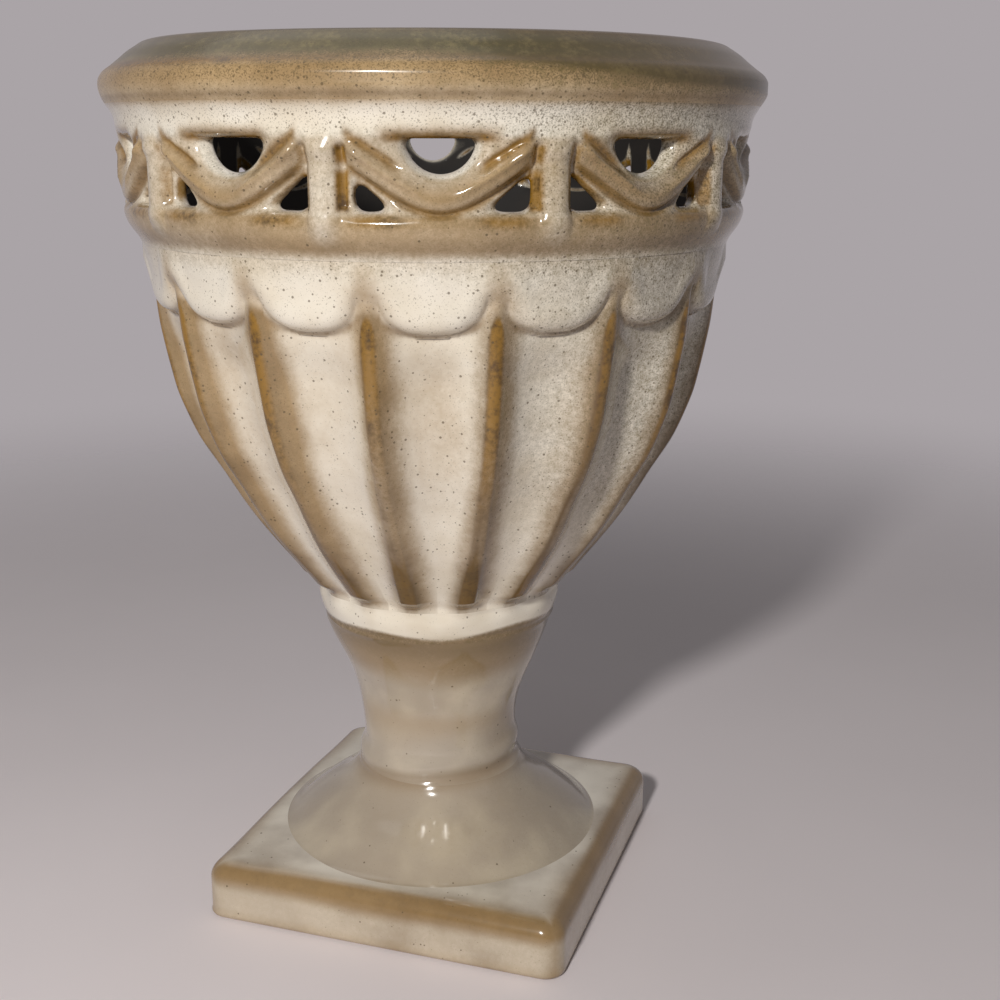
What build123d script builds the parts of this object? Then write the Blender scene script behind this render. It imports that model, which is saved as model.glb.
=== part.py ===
from build123d import *
import math
import os

# Footed urn vase of glazed ceramic, in millimetres.
# The origin is the centre of the underside and +Z is up. The square plinth lies along X and Y.
# The vase is made of castings and cut strips of clay, each luted to the next face to face.

# Heights of the pieces, from the table up
plinth_height = 14.5
foot_height = 16.5
stem_height = 40.0
collar_height = 8.0
bowl_height = 83.5
belt_height = 9.0
gallery_height = 14.0
cove_height = 6.5
lip_height = 13.0

# Plinth, with a hollow underside and a vent into the stem
plinth_side = 91.0
plinth_corner_radius = 5.0
plinth_top_edge_radius = 3.4
plinth_foot_edge_radius = 1.6
plinth_wall = 6.0
plinth_slab = 6.0

# Flared foot and stem, cast hollow
foot_ledge = 5.5
foot_toe_height = 1.2
foot_waist_step = 0.4
foot_slope_angle = 32.5
stem_foot_radius = 20.6
stem_waist_inset = 1.3
stem_waist_height = 10.5
stem_neck_flare = 9.3
stem_swell_height = 24.0
stem_swell = 3.0
pedestal_wall = 5.0

# Collar under the bowl
collar_proud = 1.6

# Bowl with ribs and flutes
bowl_base_step = 2.8
bowl_floor = 5.0
bowl_floor_radius = 16.0
bowl_wall = 4.6
rib_count = 16
rib_turn = 8.5
rib_half_width_base = 3.0
rib_half_width_top = 2.1
rib_shoulder_share = 0.375
rib_head_drop = 10.0
rib_head_height = 4.5
rib_head_inset = 3.2
flute_depth_base = 1.9
flute_depth_top = 3.8
flute_depth_head = 1.6

# Tongues that close the tops of the flutes
tongue_drop = 14.4
tongue_shoulder_drop = 9.6
tongue_cusp_drop = 4.6
tongue_proud = 1.3
tongue_shoulder_angle = 9.0

# Pierced gallery; the rest of the upper radii step out or in from its skin
bay_count = 10
bay_turn = 3.2
gallery_radius = 70.5
gallery_wall = 4.8
post_width = 6.0
post_proud = 1.6
post_edge_radius = 1.4
post_foot_drop = 5.0
post_foot_taper = 1.8
swag_seat_half_width = 8.8
swag_arm_height = 6.6
lens_half_width = 6.3
lens_depth = 6.7
strap_proud = 1.2
strap_width = 4.0
strap_end_drop = 0.8
strap_bend_radius = 9.0

# Belt under the gallery and mouth of the bowl
belt_proud = 0.5
belt_ledge = 1.0
belt_undercut = 2.0
bowl_top_inset = 1.6
bowl_shoulder_inset = 2.1
bowl_rim_wall = 5.2

# Cove and lip of the rim
cove_hood = 0.8
cove_flare = 2.3
cove_sag = 0.3
rim_wall = 9.6
lip_overhang = 1.4
lip_edge_height = 3.9
lip_crease_inset = 2.7
lip_crease_height = 7.6
lip_crown_inset = 10.8
lip_crown_width = 2.3
lip_crown_drop = 1.0
lip_mouth_inset = 14.4
lip_mouth_drop = 2.6

# One overrun serves every cutting solid
overrun = 3.0

# Levels that follow from the heights
plinth_top = plinth_height
foot_top = plinth_top + foot_height
stem_top = foot_top + stem_height
collar_top = stem_top + collar_height
bowl_top = collar_top + bowl_height
belt_top = bowl_top + belt_height
gallery_top = belt_top + gallery_height
cove_top = gallery_top + cove_height
lip_top = cove_top + lip_height

# Radii that follow, from the foot up
foot_radius = plinth_side / 2 - foot_ledge
foot_waist_radius = stem_foot_radius + foot_waist_step
stem_waist_radius = stem_foot_radius - stem_waist_inset
stem_neck_radius = stem_waist_radius + stem_neck_flare
collar_radius = stem_neck_radius + collar_proud
bowl_base_radius = stem_neck_radius + bowl_base_step
gallery_inner_radius = gallery_radius - gallery_wall
belt_radius = gallery_radius + belt_proud
belt_base_radius = belt_radius - belt_undercut
bowl_top_radius = belt_base_radius - bowl_top_inset
bowl_shoulder_radius = bowl_top_radius - bowl_shoulder_inset
bowl_mouth_radius = bowl_top_radius - bowl_rim_wall
cove_foot_radius = gallery_radius + cove_hood
cove_head_radius = cove_foot_radius + cove_flare
rim_wall_radius = cove_head_radius - rim_wall
rim_radius = cove_head_radius + lip_overhang

# Stations along the bowl: height share, swell share of the ribs, flute share from base to top
bowl_station_shares = [
    (0.0, 0.0, 0.0),
    (0.15, 0.25, 0.22),
    (0.35, 0.55, 0.50),
    (0.62, 0.845, 0.78),
    (1.0, 1.0, 1.0),
]


# Directions in the XZ plane
up = Vector(0, 0, 1)
down = Vector(0, 0, -1)
outward = Vector(1, 0, 0)
inward = Vector(-1, 0, 0)


def on_meridian(points):
    """Points given as radius and height, placed in the XZ plane."""
    return [Vector(radius, 0, height) for radius, height in points]


def straight_line(points):
    return Polyline(*on_meridian(points))


def arc_line(start, middle, end):
    return ThreePointArc(*on_meridian([start, middle, end]))


def tangent_arc(start, end, direction):
    """Arc that leaves its start in the given direction."""
    return TangentArc(*on_meridian([start, end]), tangent=direction)


def turned(*lines):
    """Solid of revolution of a closed outline in the XZ plane."""
    edges = [edge for line in lines for edge in line.edges()]
    outline = Face(Wire.combine(edges)[0])
    return Solid.revolve(outline, 360, Axis.Z)


def ring(inner_radius, outer_radius, low, high):
    """Plain ring with square edges."""
    corners = [(inner_radius, low), (outer_radius, low), (outer_radius, high), (inner_radius, high)]
    return turned(straight_line(corners + corners[:1]))


def mixed(low_value, high_value, share):
    return low_value + (high_value - low_value) * share


def polar(radius, angle, height):
    return Vector(radius * math.cos(math.radians(angle)), radius * math.sin(math.radians(angle)), height)


def around(solid, angle):
    return solid.rotate(Axis.Z, angle)


def make_plinth():
    on_table = (Align.CENTER, Align.CENTER, Align.MIN)
    slab = Box(plinth_side, plinth_side, plinth_height, align=on_table)
    slab = fillet(slab.edges().filter_by(Axis.Z), plinth_corner_radius)
    slab = fillet(slab.faces().sort_by(Axis.Z)[-1].edges(), plinth_top_edge_radius)
    slab = fillet(slab.faces().sort_by(Axis.Z)[0].edges(), plinth_foot_edge_radius)
    hollow_side = plinth_side - 2 * plinth_wall
    hollow = Box(hollow_side, hollow_side, plinth_height - plinth_slab, align=on_table)
    hollow = fillet(hollow.edges().filter_by(Axis.Z), plinth_corner_radius)
    vent = Cylinder(foot_radius - 2 * pedestal_wall, plinth_height, align=on_table)
    return slab - hollow - vent


def make_foot_flare():
    """A straight slope from the toe, turning up in a hollow curve to the stem."""
    toe = (foot_radius, plinth_top + foot_toe_height)
    waist = (foot_waist_radius, foot_top)
    slope_run = (foot_radius - foot_waist_radius) * 3 / 4
    slope_rise = slope_run * math.tan(math.radians(foot_slope_angle))
    slope_top = (foot_radius - slope_run, toe[1] + slope_rise)
    turn_middle = (mixed(slope_top[0], waist[0], 3 / 5), mixed(slope_top[1], waist[1], 2 / 5))
    inner_toe = (foot_radius - 2 * pedestal_wall, plinth_top)
    inner_turn = (slope_top[0] - pedestal_wall / 2, slope_top[1] - pedestal_wall)
    inner_waist = (foot_waist_radius - pedestal_wall, foot_top)
    seat = straight_line([inner_toe, (foot_radius, plinth_top), toe, slope_top])
    hollow_turn = arc_line(slope_top, turn_middle, waist)
    inside = straight_line([waist, inner_waist, inner_turn, inner_toe])
    return turned(seat, hollow_turn, inside)


def stem_lines(wall):
    """The two arcs of the stem's outline, taken in by a wall: the waist, then the swell to the neck."""
    foot = (stem_foot_radius - wall, foot_top)
    waist = (stem_waist_radius - wall, foot_top + stem_waist_height)
    swell = (stem_waist_radius + stem_swell - wall, foot_top + stem_swell_height)
    neck = (stem_neck_radius - wall, stem_top)
    rise_middle = (mixed(swell[0], neck[0], 3 / 5), mixed(swell[1], neck[1], 1 / 2))
    return [arc_line(foot, waist, swell), arc_line(swell, rise_middle, neck)], foot, neck


def make_stem():
    outside, foot, neck = stem_lines(0)
    inside, inner_foot, inner_neck = stem_lines(pedestal_wall)
    ends = [straight_line([neck, inner_neck]), straight_line([inner_foot, foot])]
    return turned(*outside, *inside, *ends)


def make_collar():
    """Rounded ring; its crown steps in to the floor of the flutes above it."""
    bore_radius = stem_neck_radius - pedestal_wall
    foot = (stem_neck_radius, stem_top)
    belly = (collar_radius, stem_top + collar_height / 3)
    shoulder = (collar_radius - collar_proud / 4, stem_top + collar_height * 2 / 3)
    top = (bowl_base_radius - flute_depth_base, collar_top)
    rest = straight_line([shoulder, top, (bore_radius, collar_top), (bore_radius, stem_top), foot])
    return turned(arc_line(foot, belly, shoulder), rest)


def flute_section(crest_radius, rib_half_width, flute_depth, height):
    """Closed section of the bowl: a rounded rib and a hollow flute, in turn, all the way round."""
    pitch = 360 / rib_count
    rib_half_angle = math.degrees(math.asin(rib_half_width / crest_radius))
    shoulder_radius = crest_radius - rib_half_width * rib_shoulder_share
    edges = []
    for index in range(rib_count):
        angle = rib_turn + index * pitch
        rib_start = polar(shoulder_radius, angle - rib_half_angle, height)
        rib_crest = polar(crest_radius, angle, height)
        rib_end = polar(shoulder_radius, angle + rib_half_angle, height)
        flute_floor = polar(crest_radius - flute_depth, angle + pitch / 2, height)
        next_rib = polar(shoulder_radius, angle + pitch - rib_half_angle, height)
        edges.append(Edge.make_three_point_arc(rib_start, rib_crest, rib_end))
        edges.append(Edge.make_three_point_arc(rib_end, flute_floor, next_rib))
    return Wire(edges)


def bowl_stations():
    """Crest radius, rib half width, flute depth and height at each station of the ribs."""
    rib_top = bowl_top - rib_head_drop
    swell = bowl_shoulder_radius - bowl_base_radius
    stations = []
    for height_share, swell_share, flute_share in bowl_station_shares:
        crest_radius = bowl_base_radius + swell * swell_share
        half_width = mixed(rib_half_width_base, rib_half_width_top, flute_share)
        depth = mixed(flute_depth_base, flute_depth_top, flute_share)
        stations.append((crest_radius, half_width, depth, mixed(collar_top, rib_top, height_share)))
    return stations


def make_fluted_body():
    """Loft through the stations; above the last one the ribs round over under the tongues."""
    stations = bowl_stations()
    head = (
        bowl_shoulder_radius - rib_head_inset,
        rib_half_width_top,
        flute_depth_head,
        bowl_top - rib_head_drop + rib_head_height,
    )
    sections = [flute_section(*station) for station in stations + [head]]
    return Solid.make_loft(sections)


def tongue_ring():
    """Ring above the flutes; its skin stands a little proud of the ribs."""
    low = bowl_top - tongue_drop
    inner_radius = bowl_mouth_radius - bowl_wall
    lower_edge = (bowl_shoulder_radius, low)
    bulge = (bowl_shoulder_radius + tongue_proud, low + tongue_drop / 3)
    top = (bowl_top_radius, bowl_top)
    rest = straight_line([top, (inner_radius, bowl_top), (inner_radius, low), lower_edge])
    return turned(arc_line(lower_edge, bulge, top), rest)


def pushed_out(outline, start_radius, depth):
    """Prism pointing along +X; its outline is drawn in Y and Z as seen from outside the vase."""
    facing = Plane(origin=(start_radius, 0, 0), x_dir=(0, 1, 0), z_dir=(1, 0, 0))
    return extrude(facing * outline, amount=depth, dir=facing.z_dir)


def tongue_prism():
    reach = bowl_top_radius + overrun
    half_pitch = reach * math.sin(math.radians(180 / rib_count))
    shoulder = reach * math.sin(math.radians(tongue_shoulder_angle))
    tip_z = bowl_top - tongue_drop
    shoulder_z = bowl_top - tongue_shoulder_drop
    cusp_z = bowl_top - tongue_cusp_drop
    top_z = bowl_top + overrun
    tip_arc = ThreePointArc((-shoulder, shoulder_z), (0, tip_z), (shoulder, shoulder_z))
    sides = Polyline(
        (shoulder, shoulder_z),
        (half_pitch, cusp_z),
        (half_pitch, top_z),
        (-half_pitch, top_z),
        (-half_pitch, cusp_z),
        (-shoulder, shoulder_z),
    )
    outline = Face(Wire(tip_arc.edges() + sides.edges()))
    return pushed_out(outline, bowl_top_radius / 2, bowl_top_radius)


def make_tongues():
    skin = tongue_ring()
    prism = tongue_prism()
    pitch = 360 / rib_count
    return [skin & around(prism, rib_turn + (index + 1 / 2) * pitch) for index in range(rib_count)]


def bowl_hollow():
    """The space inside the bowl: a flat floor, a round belly, and a wall that rises to the mouth."""
    inside = [
        (crest_radius - flute_depth - bowl_wall, height)
        for crest_radius, _, flute_depth, height in bowl_stations()
    ]
    low_wall, belly = inside[2:4]
    floor_z = collar_top + bowl_floor
    lid_z = bowl_top + overrun
    floor_edge = (bowl_floor_radius, floor_z)
    mouth = (bowl_mouth_radius, bowl_top)
    wall = arc_line(floor_edge, low_wall, belly)
    rest = straight_line([belly, mouth, (bowl_mouth_radius, lid_z), (0, lid_z), (0, floor_z), floor_edge])
    return turned(wall, rest)


def make_bowl():
    body = make_fluted_body()
    body = body.fuse(*make_tongues())
    return body - bowl_hollow()


def post_angle(index):
    return bay_turn + (index + 1 / 2) * 360 / bay_count


def make_belt():
    """Rounded belt with a ledge; the feet of the posts run down over it."""
    foot = (belt_base_radius, bowl_top)
    belly = (mixed(belt_base_radius, belt_radius, 3 / 4), bowl_top + belt_height / 2)
    ledge_z = belt_top - belt_ledge
    skin = arc_line(foot, belly, (belt_radius, ledge_z))
    rest = straight_line(
        [
            (belt_radius, ledge_z),
            (gallery_radius, ledge_z),
            (gallery_radius, belt_top),
            (gallery_inner_radius, belt_top),
            (bowl_mouth_radius, bowl_top),
            foot,
        ]
    )
    belt = turned(skin, rest)
    post_foot = make_post_foot()
    return belt.fuse(*[around(post_foot, post_angle(index)) for index in range(bay_count)])


def slab_along_x(points, width):
    """Upright slab of an outline in the XZ plane, centred on that plane."""
    outline = Face(Wire(straight_line(points + points[:1]).edges()))
    return extrude(outline, amount=width / 2, both=True, dir=(0, 1, 0))


def make_post_foot():
    front = gallery_radius + post_proud
    inside = gallery_radius - gallery_wall / 2
    low = belt_top - post_foot_drop
    foot = slab_along_x(
        [
            (inside, belt_top),
            (front, belt_top),
            (front, low + post_foot_taper),
            (belt_base_radius, low),
            (inside, low),
        ],
        post_width,
    )
    return fillet(foot.edges().filter_by(Axis.Z).sort_by(Axis.X)[-2:], post_edge_radius)


def make_post():
    front = gallery_radius + post_proud
    post = slab_along_x(
        [
            (gallery_inner_radius, belt_top),
            (front, belt_top),
            (front, gallery_top - post_proud),
            (cove_foot_radius, gallery_top),
            (gallery_inner_radius, gallery_top),
        ],
        post_width,
    )
    return fillet(post.edges().filter_by(Axis.Z).sort_by(Axis.X)[-2:], post_edge_radius)


def swag_outline():
    """A swag between two posts: a lens above it, and a gap at each side of its seat."""
    reach = gallery_radius * math.sin(math.radians(180 / bay_count))
    arm_low = gallery_top - swag_arm_height
    lens_low = gallery_top - lens_depth
    lens = ThreePointArc((-lens_half_width, gallery_top), (0, lens_low), (lens_half_width, gallery_top))
    rest = Polyline(
        (lens_half_width, gallery_top),
        (reach, gallery_top),
        (reach, arm_low),
        (swag_seat_half_width, belt_top),
        (-swag_seat_half_width, belt_top),
        (-reach, arm_low),
        (-reach, gallery_top),
        (-lens_half_width, gallery_top),
    )
    return Face(Wire(lens.edges() + rest.edges()))


def strap_outline():
    """The raised strap that hangs in a bend along a swag."""
    reach = gallery_radius * math.sin(math.radians(180 / bay_count))
    end_z = gallery_top - strap_end_drop
    upper = FilletPolyline(
        (-reach, end_z), (0, belt_top + strap_width), (reach, end_z), radius=strap_bend_radius
    )
    lower = FilletPolyline(
        (reach, end_z - strap_width), (0, belt_top), (-reach, end_z - strap_width),
        radius=strap_bend_radius + strap_width,
    )
    ends = [
        Line((reach, end_z), (reach, end_z - strap_width)),
        Line((-reach, end_z - strap_width), (-reach, end_z)),
    ]
    return Face(Wire(upper.edges() + lower.edges() + ends[0].edges() + ends[1].edges()))


def make_swag():
    swag_prism = pushed_out(swag_outline(), gallery_inner_radius / 2, gallery_radius)
    strap_prism = pushed_out(strap_outline(), gallery_inner_radius / 2, gallery_radius)
    panel = ring(gallery_inner_radius, gallery_radius, belt_top, gallery_top) & swag_prism
    strap_ring = ring(gallery_inner_radius, gallery_radius + strap_proud, belt_top, gallery_top)
    swag = panel + (strap_ring & strap_prism & swag_prism)
    half_pitch = 180 / bay_count
    post_space = Box(2 * rim_radius, post_width, 2 * lip_top)
    return swag - around(post_space, half_pitch) - around(post_space, -half_pitch)


def make_cove():
    foot = (cove_foot_radius, gallery_top)
    head = (cove_head_radius, cove_top)
    middle_radius = mixed(cove_foot_radius, cove_head_radius, 1 / 2) - cove_sag
    middle = (middle_radius, mixed(gallery_top, cove_top, 1 / 2))
    rest = straight_line([head, (rim_wall_radius, cove_top), (gallery_inner_radius, gallery_top), foot])
    return turned(arc_line(foot, middle, head), rest)


def make_lip():
    """Rolled lip: an undercut edge, a crease, a slope up to the crown, and the mouth inside it."""
    foot = (cove_head_radius, cove_top)
    edge = (rim_radius, cove_top + lip_edge_height)
    crease = (rim_radius - lip_crease_inset, cove_top + lip_crease_height)
    crown = (rim_radius - lip_crown_inset, lip_top)
    slope_top = (crown[0] + lip_crown_width, lip_top - lip_crown_drop)
    mouth = (rim_radius - lip_mouth_inset, lip_top - lip_mouth_drop)
    undercut = tangent_arc(edge, foot, down)
    roll = tangent_arc(edge, crease, up)
    slope = straight_line([crease, slope_top])
    crown_outside = tangent_arc(crown, slope_top, outward)
    crown_inside = tangent_arc(crown, mouth, inward)
    rest = straight_line([mouth, (rim_wall_radius, cove_top), foot])
    return turned(undercut, roll, slope, crown_outside, crown_inside, rest)


def write_piece(name, piece):
    solids = piece.solids()
    shape = solids[0] if len(solids) == 1 else Compound(solids)
    export_step(shape, f"parts/{name}.step")


os.makedirs("parts", exist_ok=True)
write_piece("plinth", make_plinth())
write_piece("foot_flare", make_foot_flare())
write_piece("stem", make_stem())
write_piece("collar", make_collar())
write_piece("bowl", make_bowl())
write_piece("gallery_belt", make_belt())
write_piece("rim_cove", make_cove())
write_piece("rim_lip", make_lip())
post = make_post()
swag = make_swag()
for number in range(bay_count):
    write_piece(f"gallery_post_{number + 1:02d}", around(post, post_angle(number)))
    write_piece(f"gallery_swag_{number + 1:02d}", around(swag, bay_turn + number * 360 / bay_count))
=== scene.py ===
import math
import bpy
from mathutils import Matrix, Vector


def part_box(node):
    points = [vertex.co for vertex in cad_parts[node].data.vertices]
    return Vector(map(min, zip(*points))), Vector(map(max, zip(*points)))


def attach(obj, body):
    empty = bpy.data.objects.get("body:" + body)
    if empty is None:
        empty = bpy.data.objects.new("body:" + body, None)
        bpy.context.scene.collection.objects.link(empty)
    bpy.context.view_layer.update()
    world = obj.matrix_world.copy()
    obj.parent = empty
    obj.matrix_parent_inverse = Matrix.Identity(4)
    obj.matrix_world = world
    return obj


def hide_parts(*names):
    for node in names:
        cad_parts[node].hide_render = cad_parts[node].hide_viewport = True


bl_info = {
    "name": "Footed Urn Vase",
    "version": (1, 0, 0),
    "blender": (4, 5, 0),
    "location": "View3D > Sidebar > Vase",
    "description": "Models and glazes a fluted urn vase with a pierced gallery",
    "category": "Add Mesh",
}

from types import SimpleNamespace

import bpy
import numpy as np
from bpy.props import FloatProperty, FloatVectorProperty, IntProperty, PointerProperty
from mathutils import Matrix, Vector

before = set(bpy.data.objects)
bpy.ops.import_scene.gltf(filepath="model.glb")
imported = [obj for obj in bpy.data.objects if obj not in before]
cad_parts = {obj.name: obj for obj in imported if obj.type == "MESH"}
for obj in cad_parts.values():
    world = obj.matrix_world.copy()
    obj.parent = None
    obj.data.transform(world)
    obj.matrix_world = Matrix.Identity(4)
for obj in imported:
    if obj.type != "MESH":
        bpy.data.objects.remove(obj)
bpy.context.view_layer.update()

MM = 0.001
VIEW_AZIMUTH = 20.7
TURNED_COLUMNS = 720
CLEARANCE = 0.01


# Reading sizes from the frame

def top_of(node):
    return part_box(node)[1].z


def reach_of(node):
    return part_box(node)[1].x


# Properties

def length(name, description, default):
    return FloatProperty(name=name, description=description, default=default, unit="LENGTH", precision=5)


def turn(name, description, degrees):
    return FloatProperty(name=name, description=description, default=math.radians(degrees), subtype="ANGLE")


def power(name, description, watts):
    return FloatProperty(name=name, description=description, default=watts, unit="POWER")


def to_linear(value):
    return value / 12.92 if value <= 0.04045 else ((value + 0.055) / 1.055) ** 2.4


def colour(name, description, red, green, blue):
    """Colour property written as display values from 0 to 255."""
    linear = [to_linear(value / 255) for value in (red, green, blue)]
    return FloatVectorProperty(name=name, description=description, default=linear, subtype="COLOR", size=3)


class VaseSizes(bpy.types.PropertyGroup):
    """Lengths of the vase; the levels and reaches come from the frame"""

    plinth_top: length("Plinth top", "Height of the plinth's top face", top_of("plinth"))
    foot_top: length("Foot top", "Height where the stem stands on the foot", top_of("foot_flare"))
    stem_top: length("Stem top", "Height where the collar starts", top_of("stem"))
    collar_top: length("Collar top", "Height where the bowl starts", top_of("collar"))
    bowl_top: length("Bowl top", "Height where the belt starts", top_of("bowl"))
    belt_top: length("Belt top", "Height where the openwork starts", top_of("gallery_belt"))
    gallery_top: length("Gallery top", "Height where the openwork ends", top_of("gallery_post_01"))
    cove_top: length("Cove top", "Height where the lip starts", top_of("rim_cove"))
    lip_top: length("Lip top", "Height of the rim's crown", top_of("rim_lip"))
    plinth_half: length("Plinth half side", "Half of the plinth's side", reach_of("plinth"))
    foot_radius: length("Foot radius", "Radius of the foot on the plinth", reach_of("foot_flare"))
    neck_radius: length("Neck radius", "Radius of the stem under the collar", reach_of("stem"))
    collar_radius: length("Collar radius", "Largest radius of the collar", reach_of("collar"))
    bowl_radius: length("Bowl radius", "Radius of the bowl's top edge", reach_of("bowl"))
    cove_radius: length("Cove radius", "Radius of the cove's head", reach_of("rim_cove"))
    rim_radius: length("Rim radius", "Largest radius of the rolled lip", reach_of("rim_lip"))
    gallery_radius: length("Gallery radius", "Radius of the skin of the openwork", 0.0705)
    gallery_wall: length("Gallery wall", "Thickness of the openwork", 0.0048)
    post_proud: length("Post relief", "How far a post stands out of the skin", 0.0016)
    strap_proud: length("Strap relief", "How far a strap stands out of the skin", 0.0011)
    strap_half: length("Strap half width", "Half of the width of a strap", 0.0023)
    glaze_round: length("Glaze rounding", "How far glaze rounds the edges of the piercings", 0.0022)
    flute_depth: length("Flute depth", "Depth of the flutes at the shoulder of the bowl", 0.0058)
    rib_half: length("Rib half width", "Half of the width of a rib's crest", 0.0012)
    tongue_proud: length("Tongue relief", "How far a tongue overhangs its flute", 0.0025)
    bays: IntProperty(name="Bays", description="Number of swags round the gallery", default=10, min=3)
    ribs: IntProperty(name="Ribs", description="Number of ribs round the bowl", default=16, min=6)
    bay_turn: turn("Bay turn", "Angle of the first swag", 3.2)
    rib_turn: turn("Rib turn", "Angle of the first rib", 8.5)
    seed: IntProperty(name="Seed", description="Seed of the small differences made by hand", default=7)


class GlazeColours(bpy.types.PropertyGroup):
    """Colours of the glazes"""

    cream: colour("Cream", "Thick white glaze on the flutes", 236, 228, 213)
    cream_shade: colour("Cream shade", "Thinner cream glaze", 218, 205, 182)
    # Tan also serves as painted shade on the ribs' flanks, under the tongues and on the plinth's sides.
    tan: colour("Tan", "Glaze where it thins to the clay", 178, 150, 110)
    tan_deep: colour("Deep tan", "Darker patches of the tan glaze", 148, 120, 82)
    amber: colour("Amber", "Glaze pooled in the recesses", 142, 104, 32)
    amber_deep: colour("Deep amber", "Burnt edge of the amber glaze", 86, 61, 24)
    # Umber also serves as painted shade: beside the ribs, under the tongues and the cove's hood, low on the
    # lip, down the right side, and on the plinth's sides and bottom.
    umber: colour("Umber", "Brown breaking of the glaze along edges", 96, 74, 45)
    # Olive on the bowl's right side and flanks is partly painted shade.
    olive: colour("Olive", "Iron glaze on the rim", 78, 71, 38)
    olive_light: colour("Light olive", "Lighter mottling of the rim", 120, 108, 68)
    speck: colour("Speck", "Iron specks", 78, 64, 38)
    stone: colour("Stone", "Grey beige glaze of the foot", 178, 166, 150)
    # Lining: a guessed dark glaze, made near black as painted shade for the unlit inside of the vase.
    lining: colour("Lining", "Dark glaze inside the vase", 21, 16, 11)


class StageSettings(bpy.types.PropertyGroup):
    """Floor, lamps and camera"""

    floor_colour: colour("Floor", "Colour of the floor", 242, 233, 235)
    backdrop_colour: colour("Backdrop", "Colour behind the vase", 170, 164, 167)
    key_power: power("Key", "Power of the key lamp", 3.5)
    fill_power: power("Fill", "Power that the fill lamps take their shares of", 0.3)
    world_level: FloatProperty(name="World", description="Strength of the even light", default=0.09)
    lens: FloatProperty(name="Lens", description="Focal length in millimetres", default=49.79)


def own_properties(group):
    """The properties that a group declares, without those that every group has."""
    return [prop for prop in group.bl_rna.properties if prop.identifier not in ("rna_type", "name")]


def plain_sizes(group):
    """The values of a group as plain numbers, with lengths in millimetres."""
    values = SimpleNamespace()
    for prop in own_properties(group):
        value = getattr(group, prop.identifier)
        if getattr(prop, "unit", "NONE") == "LENGTH":
            value = value / MM
        setattr(values, prop.identifier, value)
    return values


def plain_colours(group):
    """The colours of a group as plain tuples."""
    names = [prop.identifier for prop in own_properties(group)]
    return SimpleNamespace(**{name: tuple(getattr(group, name)) for name in names})


# Shape helpers, all in millimetres and radians

def smooth_step(low, high, value):
    share_in = np.clip((value - low) / (high - low), 0.0, 1.0)
    return share_in * share_in * (3.0 - 2.0 * share_in)


def soft_max(first, second, width):
    """Larger of two values, with the crease between them rounded over a width."""
    overlap = np.clip(1.0 - np.abs(first - second) / width, 0.0, 1.0)
    return np.maximum(first, second) + overlap * overlap * width * 0.25


def hill(offset, half_width):
    return np.exp(-((offset / half_width) ** 2))


def span(low, high, edge, value):
    """One between low and high, falling to nothing over the edge."""
    return smooth_step(low - edge, low + edge, value) * (1.0 - smooth_step(high - edge, high + edge, value))


def ripple(angle, height, seed, longest=5, count=6, rise=90.0):
    """Smooth uneven field of about minus one to one over angle and height, seamless round the vase.

    Each use adds a number of its own to the vase's seed, so that no two fields are alike."""
    draw = np.random.default_rng(seed)
    total = 0.0
    for _ in range(count):
        turns = draw.integers(1, longest + 1)
        climb = draw.uniform(-1.0, 1.0) * math.tau / rise * longest / 2
        total = total + np.sin(turns * angle + climb * height + draw.uniform(0, math.tau))
    return total / count * 1.6


def patches(angle, height, seed, **settings):
    """Smooth uneven field of about nothing to one."""
    return 0.5 + 0.5 * ripple(angle, height, seed, **settings)


def facing_right(angle):
    """From minus one at the left to one at the right of the main view."""
    return np.sin(angle - math.radians(VIEW_AZIMUTH) + math.pi / 2)


def right_iron_and_shade(angle):
    """One on the side that faces right in the main view, where more iron fell on the glaze. On the bowl and
    the lip it also darkens the glaze as painted shade for the side turned away from the key lamp.
    """
    return smooth_step(-0.1, 0.9, facing_right(angle))


def outline(curve, radius, level):
    """Points of a curve that is given by its steps out from a radius and up from a level."""
    return [(radius + out, level + up) for out, up in curve]


def soft_profile(points, blur):
    """Radius as a function of height through (radius, height) points, with corners eased over a blur."""
    radii, heights = np.array(sorted(points, key=lambda point: point[1])).T
    per_blur = 6
    reach = 3 * per_blur
    fine = np.arange(heights[0] - 4 * blur, heights[-1] + 4 * blur, blur / per_blur)
    slopes = np.diff(radii) / np.diff(heights)
    values = np.interp(fine, heights, radii)
    values += np.where(fine < heights[0], (fine - heights[0]) * slopes[0], 0.0)
    values += np.where(fine > heights[-1], (fine - heights[-1]) * slopes[-1], 0.0)
    kernel = np.exp(-0.5 * (np.arange(-reach, reach + 1) / per_blur) ** 2)
    kernel /= kernel.sum()
    padded = np.pad(values, reach, mode="reflect", reflect_type="odd")
    eased = np.convolve(padded, kernel, mode="valid")
    return lambda height: np.interp(height, fine, eased)


def path_rows(corners, steps):
    """Rows along a path of (radius, height) corners, with a number of steps for each stretch."""
    rows = []
    for (r0, z0), (r1, z1), count in zip(corners[:-1], corners[1:], steps):
        for part in np.arange(count) / count:
            rows.append((r0 + (r1 - r0) * part, z0 + (z1 - z0) * part))
    rows.append(corners[-1])
    return rows


def smooth_path(points, count):
    """Rows along a smooth curve through (radius, height) points, with some rows for each stretch."""
    points = np.array(points)
    padded = np.vstack([2 * points[0] - points[1], points, 2 * points[-1] - points[-2]])
    rows = []
    for index in range(1, len(padded) - 2):
        before, start, end, after = padded[index - 1 : index + 3]
        straight = end - before
        bend = 2 * before - 5 * start + 4 * end - after
        twist = 3 * start - before - 3 * end + after
        for part in np.arange(count) / count:
            rows.append(0.5 * (2 * start + straight * part + bend * part**2 + twist * part**3))
    rows.append(points[-1])
    return rows


def around(columns):
    """Angles of the columns of a turned piece, as one row of its grid."""
    return np.linspace(0, math.tau, columns, endpoint=False)[None, :]


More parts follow.
